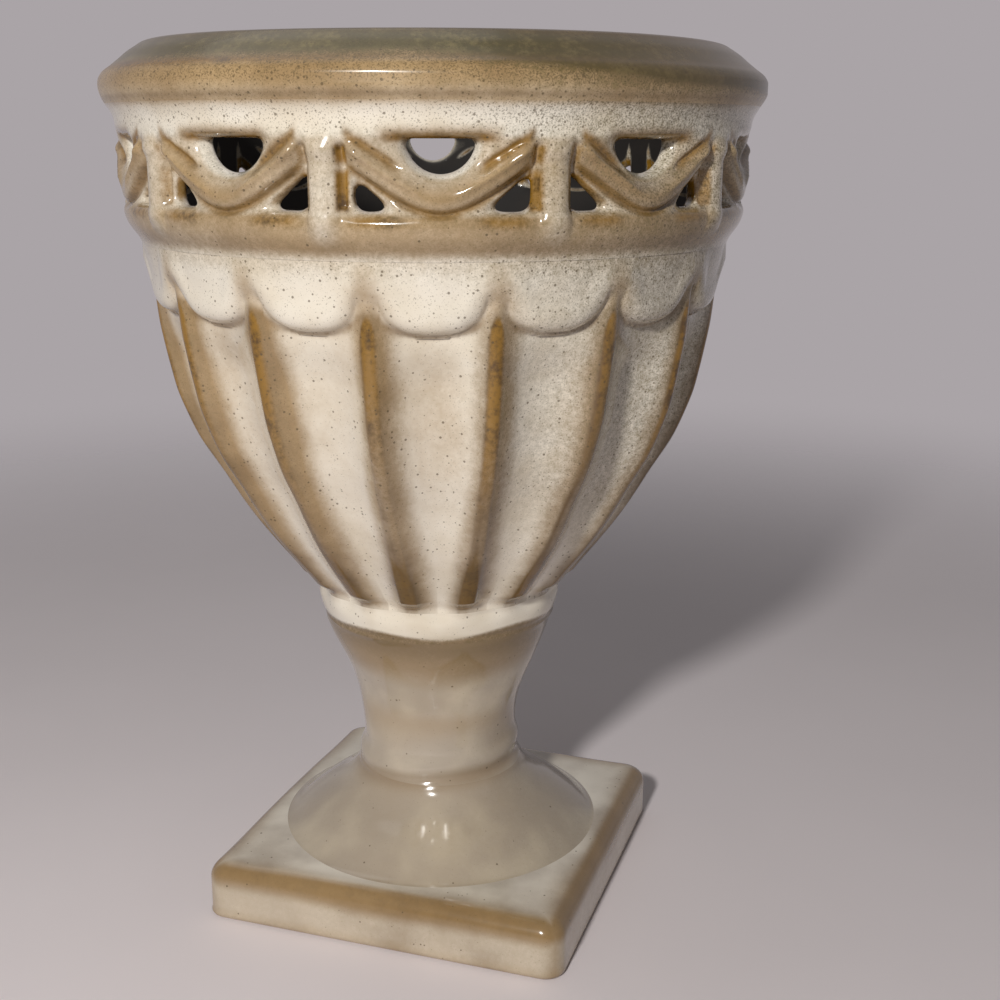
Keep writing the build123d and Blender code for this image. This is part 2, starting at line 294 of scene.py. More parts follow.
def as_columns(rows):
    """Radius and height of rows, each as one column of the grid."""
    radius, height = np.array(rows).T
    return radius[:, None], height[:, None]


def on_cylinder(angle, height, radius):
    angle, height, radius = np.broadcast_arrays(angle, height, radius)
    return np.stack([radius * np.cos(angle), radius * np.sin(angle), height], axis=-1)


# Meshes

def finish_mesh(name, points, faces, attributes, material, nodes):
    """Object from points in millimetres, riding on the vase's body in place of its CAD nodes."""
    mesh = bpy.data.meshes.new(name)
    mesh.from_pydata((points * MM).tolist(), [], faces)
    for label, values in attributes.items():
        layer = mesh.attributes.new(label, "FLOAT", "POINT")
        layer.data.foreach_set("value", np.clip(values, 0.0, 1.0).astype(np.float32).ravel())
    mesh.shade_smooth()
    mesh.materials.append(material)
    obj = bpy.data.objects.new(name, mesh)
    bpy.context.scene.collection.objects.link(obj)
    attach(obj, "root")
    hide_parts(*nodes)
    return obj


def ring_faces(rows, columns, closed):
    """Quads over a grid of rows round the axis; an open grid is closed by a fan at each end."""
    index = np.arange(rows * columns).reshape(rows, columns)
    along = np.roll(index, -1, axis=1)
    quads = np.stack([index, along, np.roll(along, -1, axis=0), np.roll(index, -1, axis=0)], axis=-1)
    if closed:
        return quads.reshape(-1, 4).tolist()
    faces = quads[:-1].reshape(-1, 4).tolist()
    first_pole = rows * columns
    last_pole = first_pole + 1
    faces += [[first_pole, b, a] for a, b in zip(index[0].tolist(), along[0].tolist())]
    faces += [[last_pole, a, b] for a, b in zip(index[-1].tolist(), along[-1].tolist())]
    return faces


def mark_creases(mesh, columns, crease_rows, rows):
    """Sharp edges along whole rows, so that a seat's flat face doesn't shade into the wall."""
    ends = np.empty(len(mesh.edges) * 2, np.int64)
    mesh.edges.foreach_get("vertices", ends)
    ends = ends.reshape(-1, 2)
    row = ends // columns
    on_crease = (row[:, 0] == row[:, 1]) & np.isin(row[:, 0], crease_rows) & (row[:, 0] < rows)
    layer = mesh.attributes.new("sharp_edge", "BOOLEAN", "EDGE")
    layer.data.foreach_set("value", on_crease)


def turned_piece(name, slot, materials, angle, height, radius, glaze, creases, closed=True):
    """Piece from a grid of rows; creases are the rows where its outline has a corner."""
    points = on_cylinder(angle, height, radius)
    rows, columns = points.shape[:2]
    flat = points.reshape(-1, 3)
    values = {label: np.broadcast_to(value, (rows, columns)).ravel() for label, value in glaze.items()}
    if not closed:
        poles = [[0, 0, points[0, 0, 2]], [0, 0, points[-1, 0, 2]]]
        flat = np.vstack([flat, poles])
        values = {label: np.append(value, [value[0], value[-1]]) for label, value in values.items()}
    faces = ring_faces(rows, columns, closed)
    obj = finish_mesh(name, flat, faces, values, materials[slot], [name])
    mark_creases(obj.data, columns, creases, rows)


# The gallery, from the belt to the cove, as one soft field that is cut into its pieces

# Steps out from the bowl's radius and up from its top
BELT_FOOT = [(0.0, -0.4), (0.1, 0.2), (0.6, 1.3), (1.7, 2.7)]
# Steps out from the gallery's radius and up from the bowl's top
BELT_SWELL = [(-0.3, 4.3), (0.3, 6.0), (0.5, 7.4)]
# Steps out from the gallery's radius and up from its top
COVE_CURVE = [(0.4, -0.1), (1.15, 1.0), (1.35, 2.2), (1.45, 3.4), (1.9, 4.6)]
GROUND_STEP = 0.3
PROFILE_BLUR = 0.55

# Straps and the knobs at their ends; sides are measured from the middle of a bay
STRAP_FOOT = 2.6
STRAP_RISE = 0.71
STRAP_BEND = 5.5
STRAP_CREST = 0.3
STRAP_SLOPE_WIDTH = 4.4
KNOB_PROUD = 0.2
KNOB_RADIUS = 1.7
KNOB_SIDE = 16.4
KNOB_RISE = 10.6

# Posts and the trenches beside them
POST_HALF = 3.3
TRENCH_SIDE = 3.9
TRENCH_HALF = 0.75
TRENCH_DEPTH = 1.1

# Piercings of the ten bays, with the small differences made by hand
LENS_HALF_WIDTHS = [8.6, 8.2, 9.0, 8.0, 8.5, 9.1, 8.2, 9.0, 8.2, 9.0]
LENS_SHIFTS = [0.3, -0.4, 0.2, 0.5, -0.2, 0.1, -0.5, 0.6, 0.2, -0.2]
LENS_DROP = 8.0
LENS_SLOPE = 0.42
LENS_CORNER = 1.8
GAP_LEFT_EDGES = [17.4, 16.8, 18.0, 17.2, 16.6, 17.8, 17.0, 16.8, 16.6, 18.4]
GAP_RIGHT_EDGES = [17.0, 17.8, 16.8, 17.6, 17.2, 16.8, 18.0, 18.3, 18.0, 17.4]
GAP_TIP_SIDE = 6.8
GAP_APEX_SIDE = 18.2
GAP_APEX_RISE = 9.2
GAP_SLOPE = 0.40
GAP_CORNER = 2.8

# How much amber lies in the trench on either side of each post
POST_AMBER_LEFT = [0.5, 0.8, 0.4, 0.9, 0.6, 0.5, 0.8, 0.55, 0.9, 0.8]
POST_AMBER_RIGHT = [0.7, 0.4, 0.9, 0.5, 0.8, 0.6, 0.5, 1.0, 0.6, 0.9]

# Walls of the castings above and below the openwork, at their inner edges
MOUTH_WALL = 5.2
COVE_WALL = 9.6


def bay_position(s, angle):
    """Distance along the skin from the middle of the nearest swag, and the number of its bay."""
    turns = (angle - s.bay_turn) / (math.tau / s.bays)
    bay = np.round(turns)
    across = (turns - bay) * (math.tau / s.bays) * s.gallery_radius
    return across, bay.astype(int) % s.bays


def post_position(s, angle):
    """Distance along the skin from the middle of the nearest post, and the number of that post."""
    turns = (angle - s.bay_turn) / (math.tau / s.bays)
    post = np.floor(turns)
    beside = (turns - post - 0.5) * (math.tau / s.bays) * s.gallery_radius
    return beside, post.astype(int) % s.bays


def strap_offset(s, across, height):
    """Distance above the middle line of a strap, which hangs in a bend between two posts."""
    bend = np.sqrt(across**2 + STRAP_BEND**2)
    line = s.belt_top + STRAP_FOOT + STRAP_RISE * (bend - STRAP_BEND)
    slope = STRAP_RISE * across / bend
    return (height - line) / np.sqrt(1.0 + slope**2)


def gallery_base(s, height):
    """Outer radius of the belt, the ground and the cove, without posts and straps."""
    ground = s.gallery_radius - GROUND_STEP
    points = outline(BELT_FOOT, s.bowl_radius, s.bowl_top)
    points += outline(BELT_SWELL, s.gallery_radius, s.bowl_top)
    points += [
        (s.gallery_radius + 0.2, s.belt_top - 0.7),
        (ground, s.belt_top + 0.2),
        (ground, s.gallery_top - 1.2),
    ]
    points += outline(COVE_CURVE, s.gallery_radius, s.gallery_top)
    points += [(s.cove_radius - 0.5, s.gallery_top + 5.7), (s.cove_radius, s.cove_top)]
    return soft_profile(points, PROFILE_BLUR)(height)


def strap_relief(s, side, height, offset):
    """How far a strap and its knobs stand out, less the grooves above and below the strap."""
    ends = 1.0 - smooth_step(14.8, 18.4, side)
    under = np.clip(1.0 - ((STRAP_CREST - offset) / (s.strap_half + 0.5)) ** 2, 0.0, 1.0) ** 0.8
    over = np.clip(1.0 - (offset - STRAP_CREST) / STRAP_SLOPE_WIDTH, 0.0, 1.0) ** 1.4
    ridge = 0.60 * hill(offset - 0.5, 0.65) * smooth_step(2.0, 7.0, side)
    strap = (s.strap_proud * np.where(offset < STRAP_CREST, under, over) + ridge) * ends
    lower_groove = hill(offset + s.strap_half + 0.6, 0.6) * ends
    upper_groove = hill(offset - s.strap_half - 0.2, 0.7) * ends * smooth_step(5.0, 9.0, side)
    knob = KNOB_PROUD * hill(np.hypot(side - KNOB_SIDE, height - s.belt_top - KNOB_RISE), KNOB_RADIUS)
    return strap + knob - 0.9 * lower_groove - upper_groove


def gallery_skin(s, angle, height):
    """Outer radius over angle and height: the belt, the ground, the posts, the straps and the cove."""
    across, _ = bay_position(s, angle)
    beside, _ = post_position(s, angle)
    side = np.abs(across)
    wobble = 0.25 * ripple(angle, height, s.seed)
    skin = gallery_base(s, height) + 0.12 * wobble * span(s.bowl_top + 1.0, s.cove_top - 1.0, 1.0, height)
    flush = smooth_step(8.5, 13.5, side) * span(s.gallery_top - 3.4, s.gallery_top + 0.4, 1.7, height)
    offset = strap_offset(s, across + 0.5 * wobble, height + wobble)
    openwork = span(s.belt_top - 1.6, s.gallery_top - 0.8, 1.1, height)
    skin = skin + flush + strap_relief(s, side, height, offset) * openwork
    column = np.clip(1.0 - (np.abs(beside + 0.4 * wobble) / POST_HALF) ** 2, 0.0, 1.0) ** 0.8
    foot_fade = smooth_step(s.belt_top - 6.5, s.belt_top + 1.5, height)
    head_fade = 1.0 - smooth_step(s.gallery_top - 3.0, s.gallery_top + 1.5, height)
    trench = hill(np.abs(beside) - TRENCH_SIDE, TRENCH_HALF)
    trench = trench * span(s.belt_top + 0.8, s.gallery_top - 1.2, 0.6, height)
    return skin - TRENCH_DEPTH * trench + s.post_proud * column * foot_fade * head_fade


def gallery_piercings(s, angle, height, depth):
    """Signed distance to the lens and the two side gaps of a bay; it is below nothing inside them.

    The walls of the openings slope, so they are narrower inside the vase than outside."""
    across, bay = bay_position(s, angle)
    wobble = 0.3 * ripple(angle, height, s.seed + 1, longest=9)
    half = np.array(LENS_HALF_WIDTHS)[bay]
    x = (across - np.array(LENS_SHIFTS)[bay]) / half
    z = (height + 0.3 * wobble - s.gallery_top) / LENS_DROP
    reach = np.sqrt(x**2 + z**2) + 1e-6
    lens = (reach - 1.0) * reach / np.sqrt((x / half) ** 2 + (z / LENS_DROP) ** 2)
    side = np.abs(across + 0.4 * wobble)
    outer_edge = np.where(across < 0, np.array(GAP_LEFT_EDGES)[bay], np.array(GAP_RIGHT_EDGES)[bay])
    run = GAP_APEX_SIDE - GAP_TIP_SIDE
    slant = (height - s.belt_top) * run - (side - GAP_TIP_SIDE) * GAP_APEX_RISE
    slant = slant / math.hypot(run, GAP_APEX_RISE)
    edges = np.broadcast_arrays(lens, side - outer_edge, slant, height)
    lens, beside_post, slant, height = [edge[..., None] for edge in edges]
    gap = soft_max(beside_post, s.belt_top + 0.1 - height + 0.1 * depth, GAP_CORNER)
    gap = soft_max(gap, slant + GAP_SLOPE * depth, GAP_CORNER)
    lens = soft_max(lens + LENS_SLOPE * depth, height - s.gallery_top + 0.3, LENS_CORNER)
    return np.minimum(lens, gap)


def gallery_inside(s, height):
    """Inner radius, from the mouth of the bowl up to the lip."""
    inner = s.gallery_radius - s.gallery_wall
    points = [
        (s.bowl_radius - MOUTH_WALL, s.bowl_top),
        (inner, s.belt_top),
        (inner, s.gallery_top),
        (s.cove_radius - COVE_WALL, s.cove_top),
    ]
    return soft_profile(points, 1.0)(height)


def gallery_glaze(s, angle, height, radius):
    """How much of each glaze lies at a point of the gallery, with a painted shadow along the hood of the
    cove.
    """
    across, _ = bay_position(s, angle)
    beside, post = post_position(s, angle)
    side = np.abs(across)
    beside_post = np.abs(beside)
    depth = gallery_skin(s, angle, height) - radius
    outside = 1.0 - smooth_step(0.5, 1.6, depth)
    walls = span(1.4, 4.2, 0.6, depth)
    lining = smooth_step(s.gallery_wall - 0.9, s.gallery_wall - 0.2, depth)
    uneven = patches(angle, height, s.seed + 2, longest=9)
    right = right_iron_and_shade(angle)
    belt_fade = smooth_step(s.bowl_top - 1.0, s.bowl_top + 2.5, height)
    belt = belt_fade * (1.0 - smooth_step(s.belt_top - 1.0, s.belt_top + 0.6, height))
    cove = smooth_step(s.gallery_top + 0.4, s.gallery_top + 2.6, height)
    openwork = span(s.belt_top, s.gallery_top, 0.8, height) * outside
    column = hill(beside_post, 2.6)
    ledge = hill(height - s.belt_top + 1.4, 1.2) * (0.2 + 0.8 * span(7.5, 16.5, 2.0, side)) * (1.0 - column)
    column = column * smooth_step(s.bowl_top + 1.0, s.bowl_top + 6.0, height)
    post_amber = np.where(beside > 0, np.array(POST_AMBER_RIGHT)[post], np.array(POST_AMBER_LEFT)[post])
    trench = span(2.6, 4.9, 0.5, beside_post) * span(s.belt_top + 0.4, s.gallery_top - 1.4, 0.6, height)
    trench = trench * post_amber * (1.0 - 0.8 * hill(height - s.belt_top - 8.6, 0.8))
    # Under the cove's hood over each lens: amber glaze pooled at the edge, darkened with umber as painted
    # shadow of the overhang.
    hood_amber_and_shadow = hill(height - s.gallery_top + 0.1, 0.75) * (1.0 - smooth_step(8.0, 11.5, side))
    offset = strap_offset(s, across, height)
    ends = 1.0 - smooth_step(16.6, 18.2, side)
    strap = hill(offset, s.strap_half) * ends
    lower_line = hill(offset + s.strap_half + 0.3, 0.8) * ends
    upper_pool = hill(offset - s.strap_half - 0.3, 0.9) * ends * smooth_step(6.5, 10.0, side)
    gap_wall = smooth_step(6.0, 8.5, side) * (1.0 - smooth_step(s.belt_top + 7.5, s.belt_top + 9.0, height))
    gap_wall = gap_wall * walls
    above_sill = smooth_step(s.belt_top + 0.6, s.belt_top + 2.4, height)
    tan = belt * (0.80 + 0.2 * uneven) * (1.0 - 0.5 * column)
    tan = tan + openwork * (0.42 + 0.25 * uneven) * (1.0 - 0.15 * column) + 0.4 * strap * openwork
    tan = tan + 0.35 * upper_pool + 0.35 * lower_line + 0.3 * gap_wall
    tan = tan + 0.75 * hill(height - s.gallery_top - 0.6, 1.3) * (1.0 - smooth_step(9.0, 13.0, side))
    tan = tan + 0.85 * hill(height - s.cove_top - 0.3, 1.1)
    amber = 0.75 * ledge + 0.95 * trench + 0.95 * upper_pool * (0.5 + 0.5 * uneven) + 0.85 * hood_amber_and_shadow
    amber = amber + gap_wall * above_sill * (0.55 + 0.4 * uneven) + 0.40 * lower_line
    umber = 0.40 * hood_amber_and_shadow + 0.60 * lower_line * (0.5 + 0.5 * uneven) + 0.60 * upper_pool * uneven
    umber = umber + 0.22 * hill(height - s.bowl_top - 2.4, 2.0) * outside
    umber = umber + 0.3 * trench * hill(beside_post - 4.6, 0.5)
    return {
        "tan": tan * (1.0 - lining),
        "amber": amber * (1.0 - lining),
        "umber": umber * (1.0 - lining),
        "olive": 0.14 + 0.42 * right * (0.5 + 0.5 * cove) - 0.14 * cove + 0.2 * ledge,
        "inside": lining,
        "specks": 0.32 + 0.4 * cove + 0.65 * right - 0.2 * belt,
    }


def grid_normals(field, angles, heights, radii):
    """Gradient of the field at its grid points, turned into directions in space."""
    d_angle, d_height, d_radius = np.gradient(field, angles, heights, radii)
    tangent = d_angle / radii[None, None, :]
    cos = np.cos(angles)[:, None, None]
    sin = np.sin(angles)[:, None, None]
    return np.stack([d_radius * cos - tangent * sin, d_radius * sin + tangent * cos, d_height], axis=-1)


def neighbours(axis, other_axes=slice(None)):
    """Two windows on a grid, one step apart along an axis."""
    low = [other_axes] * 3
    high = [other_axes] * 3
    low[axis] = slice(None, -1)
    high[axis] = slice(1, None)
    return tuple(low), tuple(high)


def net_points(field, inside, owned):
    """Where the net's point lies in each cell, as parts of the cell's three sides.

    That is the mean of the crossings of its edges; beside a seam, the point lies in the seam's plane."""
    cells = tuple(size - 1 for size in field.shape)
    place = np.zeros(cells + (3,))
    count = np.zeros(cells)
    seam = np.zeros(cells + (3,), bool)
    for axis in range(3):
        low, high = neighbours(axis)
        crossing = inside[low] != inside[high]
        border = owned[low] != owned[high]
        with np.errstate(divide="ignore", invalid="ignore"):
            part = np.where(crossing, field[low] / (field[low] - field[high]), 0.0)
        others = [other for other in range(3) if other != axis]
        for shifts in ((0, 0), (0, 1), (1, 0), (1, 1)):
            window = [slice(None)] * 3
            for other, shift in zip(others, shifts):
                window[other] = slice(shift, shift + cells[other])
            window = tuple(window)
            hit = crossing[window]
            count += hit
            place[..., axis] += np.where(hit, part[window], 0.0)
            for other, shift in zip(others, shifts):
                place[..., other] += np.where(hit, shift, 0.0)
            seam[..., axis] |= border[window]
    mean = place / np.maximum(count, 1)[..., None]
    place = np.where((count > 0)[..., None], mean, 0.5)
    return np.where(seam, 0.5, place)


def net_faces(inside, kept):
    """Quads of cell numbers round the kept part, and which of them lie on a seam with clay behind."""
    cells = tuple(size - 1 for size in kept.shape)
    quads = []
    caps = []
    for axis in range(3):
        low, high = neighbours(axis, slice(1, -1))
        step = kept[low] != kept[high]
        where = np.argwhere(step)
        if len(where) == 0:
            continue
        others = [other for other in range(3) if other != axis]
        corners = []
        for shifts in ((0, 0), (1, 0), (1, 1), (0, 1)):
            corner = where.copy()
            for other, shift in zip(others, shifts):
                corner[:, other] += shift
            corners.append(np.ravel_multi_index(corner.T, cells))
        quad = np.stack(corners, axis=-1)
        leaving = kept[low][step]
        flip = leaving if axis == 1 else ~leaving
        quads.append(np.where(flip[:, None], quad[:, ::-1], quad))
        caps.append((inside[low] & inside[high])[step])
    return np.concatenate(quads), np.concatenate(caps)


def net_piece(field, owned, normals, axes):
    """Closed net round the owned part of a field that is below nothing inside the clay.

    It gives the points' coordinates, the quads, the flat quads on the seams and the points' normals."""
    inside = field < 0
    cells = tuple(size - 1 for size in field.shape)
    quads, caps = net_faces(inside, inside & owned)
    used, renumbered = np.unique(quads, return_inverse=True)
    quads = renumbered.reshape(quads.shape)
    index = np.stack(np.unravel_index(used, cells), axis=-1)
    local = net_points(field, inside, owned).reshape(-1, 3)[used]
    coordinates = [
        values[index[:, k]] * (1 - local[:, k]) + values[index[:, k] + 1] * local[:, k]
        for k, values in enumerate(axes)
    ]
    direction = np.zeros((len(used), 3))
    for corner in np.ndindex(2, 2, 2):
        weight = np.prod(np.abs(1 - np.array(corner) - local), axis=1)
        direction += weight[:, None] * normals[tuple((index + corner).T)]
    direction /= np.maximum(np.linalg.norm(direction, axis=1), 1e-9)[:, None]
    return coordinates, quads, caps, direction


def set_normals(mesh, points, quads, caps, direction):
    """Smooth normals from the field, and flat ones on the seats where two pieces meet."""
    corner = points[quads]
    flat = np.cross(corner[:, 2] - corner[:, 0], corner[:, 3] - corner[:, 1])
    flat /= np.maximum(np.linalg.norm(flat, axis=1), 1e-12)[:, None]
    loops = np.where(caps[:, None, None], flat[:, None, :], direction[quads])
    mesh.normals_split_custom_set(loops.reshape(-1, 3).tolist())


def weld_turn(points, quads, turned):
    """Joins the two ends of a full turn: points with the same angle, height and radius become one.

    It also gives the numbers of the points and the quads that stay."""
    radius = np.hypot(points[:, 0], points[:, 1])
    keys = np.stack([np.round(turned, 7), np.round(points[:, 2], 5), np.round(radius, 5)], axis=1)
    _, first, back = np.unique(keys, axis=0, return_index=True, return_inverse=True)
    merged = back.ravel()[quads]
    _, single = np.unique(np.sort(merged, axis=1), axis=0, return_index=True)
    single = np.sort(single)
    return points[first], merged[single], first, single


def layers(low, high, cell):
    """Heights in the middle of equal layers between two levels."""
    count = max(int(round((high - low) / cell)), 1)
    return low + (np.arange(count) + 0.5) * (high - low) / count


def build_gallery_pieces(s, materials):
    per_bay = 108
    cell = 0.4
    columns = per_bay * s.bays
    pitch = math.tau / s.bays
    first_post = s.bay_turn + pitch / 2
    column = np.arange(-per_bay, columns + per_bay)
    angles = first_post + pitch / per_bay * column
    levels = [s.bowl_top, s.belt_top, s.gallery_top, s.cove_top]
    levels = [s.bowl_top - 2 * cell] + levels + [s.cove_top + 2 * cell]
    zones = [layers(low, high, cell) for low, high in zip(levels[:-1], levels[1:])]
    heights = np.concatenate(zones)
    zone = np.concatenate([np.full(len(part), number) for number, part in enumerate(zones)])
    radii = np.arange(s.bowl_radius - 8.0, s.rim_radius + 1.5, cell)
    skin = gallery_skin(s, angles[:, None], heights[None, :])[..., None]
    inner = gallery_inside(s, heights[None, :])[..., None]
    wall = np.maximum(radii - skin, inner - radii)
    depth = np.clip(skin - radii, 0.0, s.gallery_wall)
    piercings = gallery_piercings(s, angles[:, None], heights[None, :], depth)
    field = soft_max(wall, -piercings, s.glaze_round)
    normals = grid_normals(field, angles, heights, radii)

    def cut_piece(name, number, slot, first, last, full_turn=False):
        """Piece of a zone between two columns, or round a full turn, with the margin that its net needs."""
        margin = 1 if full_turn else 2
        part = slice(first + per_bay - margin, last + per_bay + margin + 1)
        between = full_turn | ((column[part] >= first) & (column[part] <= last))
        layer = np.flatnonzero(zone == number)
        rows = slice(layer[0] - 2, layer[-1] + 3)
        owned = between[:, None, None] & (zone[rows] == number)[None, :, None]
        owned = np.broadcast_to(owned, field[part, rows].shape)
        axes = (angles[part], heights[rows], radii)
        coordinates, quads, caps, direction = net_piece(field[part, rows], owned, normals[part, rows], axes)
        points = on_cylinder(*coordinates)
        glaze = gallery_glaze(s, *coordinates)
        if full_turn:
            turned = np.mod(coordinates[0] - angles[part][0], math.tau)
            points, quads, kept, kept_quads = weld_turn(points, quads, turned)
            glaze = {label: value[kept] for label, value in glaze.items()}
            caps = caps[kept_quads]
            direction = direction[kept]
        obj = finish_mesh(name, points, quads.tolist(), glaze, materials[slot], [name])
        set_normals(obj.data, points, quads, caps, direction)

    cut_piece("gallery_belt", 1, "tan_glaze", 0, columns, full_turn=True)
    cut_piece("rim_cove", 3, "cream_glaze", 0, columns, full_turn=True)
    post_half = per_bay // 14
    for number in range(s.bays):
        post = number * per_bay
        cut_piece(f"gallery_post_{number + 1:02d}", 2, "tan_glaze", post - post_half, post + post_half)
        first = post - per_bay + post_half + 1
        cut_piece(f"gallery_swag_{number + 1:02d}", 2, "tan_glaze", first, post - post_half - 1)


# Materials

# Sizes in metres: blotches of the glaze, the cells that hold a speck each, and the depth of the relief
BROAD_SIZE = 0.022
BLOTCH_SIZE = 0.006
FINE_SIZE = 0.0011
GRAIN_SIZE = 0.00032
SMALL_SPECK_CELL = 0.0009
LARGE_SPECK_CELL = 0.0022
RELIEF_DEPTH = 0.0008
COAT_ROUGHNESS = 0.06


class Shader:
    """Small helper that fills the node tree of a material or a world."""

    def __init__(self, owner):
        owner.use_nodes = True
        self.tree = owner.node_tree
        self.tree.nodes.clear()
        self.x = 0

    def node(self, kind, inputs=(), **settings):
        node = self.tree.nodes.new(kind)
        node.location = (self.x, 0)
        self.x += 180
        for key, value in settings.items():
            setattr(node, key, value)
        for key, value in dict(inputs).items():
            self.feed(node.inputs[key], value)
        return node

    def feed(self, socket, value):
        if isinstance(value, bpy.types.NodeSocket):
            self.tree.links.new(value, socket)
        else:
            socket.default_value = value

    def maths(self, operation, first, second=0.0, third=None, clamp=False):
        node = self.node("ShaderNodeMath", operation=operation, use_clamp=clamp)
        self.feed(node.inputs[0], first)
        self.feed(node.inputs[1], second)
        if third is not None:
            self.feed(node.inputs[2], third)
        return node.outputs[0]

    def mean(self, first, share, second):
        """Mean of two values, with a share for the first and the rest for the second."""
        first_part = self.maths("MULTIPLY", first, share)
        return self.maths("ADD", first_part, self.maths("MULTIPLY", second, 1.0 - share))

    def mix(self, factor, first, second):
        node = self.node("ShaderNodeMix", data_type="RGBA")
        self.feed(node.inputs[0], factor)
        self.feed(node.inputs[6], as_rgba(first))
        self.feed(node.inputs[7], as_rgba(second))
        return node.outputs[2]

    def noise(self, place, size, detail=3.0, roughness=0.55):
        """Noise with blotches of about a size in metres."""
        node = self.node("ShaderNodeTexNoise", {"Vector": place, "Scale": 1 / size, "Detail": detail})
        node.inputs["Roughness"].default_value = roughness
        return node.outputs["Fac"]

    def attribute(self, name):
        return self.node("ShaderNodeAttribute", attribute_name=name).outputs["Fac"]

    def spread(self, value, low, high):
        """Maps low to high onto nothing to one, smoothly."""
        node = self.node("ShaderNodeMapRange", {"Value": value, "From Min": low, "From Max": high})
        node.interpolation_type = "SMOOTHSTEP"
        return node.outputs["Result"]

    def ragged(self, amount, noise, strength):
        """Amount with its middle values broken up by noise, and its ends left alone."""
        centred = self.maths("SUBTRACT", noise, 0.5)
        room = self.maths("MULTIPLY", amount, self.maths("SUBTRACT", 1.0, amount))
        shift = self.maths("MULTIPLY", self.maths("MULTIPLY", centred, room), 4.0 * strength)
        return self.maths("ADD", amount, shift, clamp=True)

    def specks(self, place, size, density, low, high):
        """Round specks of a cell size in metres, in a share of the cells."""
        cells = self.node("ShaderNodeTexVoronoi", {"Vector": place, "Scale": 1 / size, "Randomness": 1.0})
        split = self.node("ShaderNodeSeparateColor", {"Color": cells.outputs["Color"]})
        chosen = self.maths("LESS_THAN", split.outputs[0], density)
        reach = self.maths("MULTIPLY_ADD", split.outputs[1], high - low, low)
        edge = self.maths("SUBTRACT", reach, cells.outputs["Distance"])
        dot = self.spread(edge, 0.0, 0.12)
        return self.maths("MULTIPLY", dot, chosen)


def as_rgba(value):
    if isinstance(value, bpy.types.NodeSocket):
        return value
    return (*value, 1.0)


def glaze_material(name, c, ground, roughness, coat, bump, breaking):
    """Glaze that shades from its ground to tan, amber and olive by what the mesh says, with iron specks.

    Breaking says how much the edges of the shades are broken up: less where the glaze lies thick."""
    material = bpy.data.materials.new(name)
    n = Shader(material)
    place = n.node("ShaderNodeTexCoord").outputs["Object"]
    broad = n.noise(place, BROAD_SIZE, 2.0)
    blotch = n.noise(place, BLOTCH_SIZE, 3.0)
    fine = n.noise(place, FINE_SIZE, 3.0, 0.6)
    grain = n.noise(place, GRAIN_SIZE, 2.0)
    light, shade = ground
    uneven = n.mean(broad, 0.8, blotch)
    base = n.mix(n.maths("MULTIPLY", n.spread(uneven, 0.40, 0.72), 0.8), light, shade)
    tan_amount = n.ragged(n.ragged(n.attribute("tan"), blotch, 0.4 * breaking), fine, 0.35 * breaking)
    tan_colour = n.mix(n.maths("MULTIPLY", n.spread(uneven, 0.38, 0.64), 0.7), c.tan, c.tan_deep)
    result = n.mix(tan_amount, base, tan_colour)
    peppered = n.mean(fine, 0.5, grain)
    olive_amount = n.ragged(n.attribute("olive"), peppered, 3.0 * breaking)
    olive_colour = n.mix(n.spread(n.mean(peppered, 0.6, blotch), 0.46, 0.62), c.olive, c.olive_light)
    result = n.mix(olive_amount, result, olive_colour)
    umber_amount = n.ragged(n.attribute("umber"), blotch, 0.6 * breaking)
    result = n.mix(umber_amount, result, c.umber)
    amber_amount = n.ragged(n.attribute("amber"), fine, 0.7 * breaking)
    amber_depth = n.spread(n.mean(blotch, 0.6, fine), 0.46, 0.66)
    amber_patches = n.maths("MULTIPLY", amber_depth, 0.25 + 0.75 * breaking)
    amber_colour = n.mix(amber_patches, c.amber, c.amber_deep)
    result = n.mix(amber_amount, result, amber_colour)
    density = n.attribute("specks")
    dust_level = n.maths("MULTIPLY_ADD", density, 0.17, grain)
    dust = n.maths("MULTIPLY", n.spread(dust_level, 0.68, 0.78), 0.5)
    small = n.specks(place, SMALL_SPECK_CELL, n.maths("MULTIPLY", density, 0.60), 0.16, 0.38)
    large = n.specks(place, LARGE_SPECK_CELL, n.maths("MULTIPLY", density, 0.32), 0.07, 0.14)
    speck_amount = n.maths("MAXIMUM", dust, n.maths("MULTIPLY", n.maths("MAXIMUM", small, large), 0.7))
    result = n.mix(speck_amount, result, c.speck)
    # Inside the vase: the near-black lining, partly painted shade.
    lining = n.mix(n.spread(blotch, 0.4, 0.65), c.lining, tuple(1.5 * v for v in c.lining))
    result = n.mix(n.attribute("inside"), result, lining)
    height = n.maths("ADD", broad, n.maths("MULTIPLY", blotch, 0.2))
    relief = n.node("ShaderNodeBump", {"Height": height, "Strength": bump, "Distance": RELIEF_DEPTH})
    shader = n.node("ShaderNodeBsdfPrincipled", {"Base Color": result, "Normal": relief.outputs["Normal"]})
    n.feed(shader.inputs["Roughness"], n.maths("MULTIPLY_ADD", n.attribute("inside"), 0.6, roughness))
    n.feed(shader.inputs["Coat Weight"], n.maths("MULTIPLY_ADD", n.attribute("inside"), -coat, coat))
    shader.inputs["Coat Roughness"].default_value = COAT_ROUGHNESS
    n.node("ShaderNodeOutputMaterial", {"Surface": shader.outputs["BSDF"]})
    return material


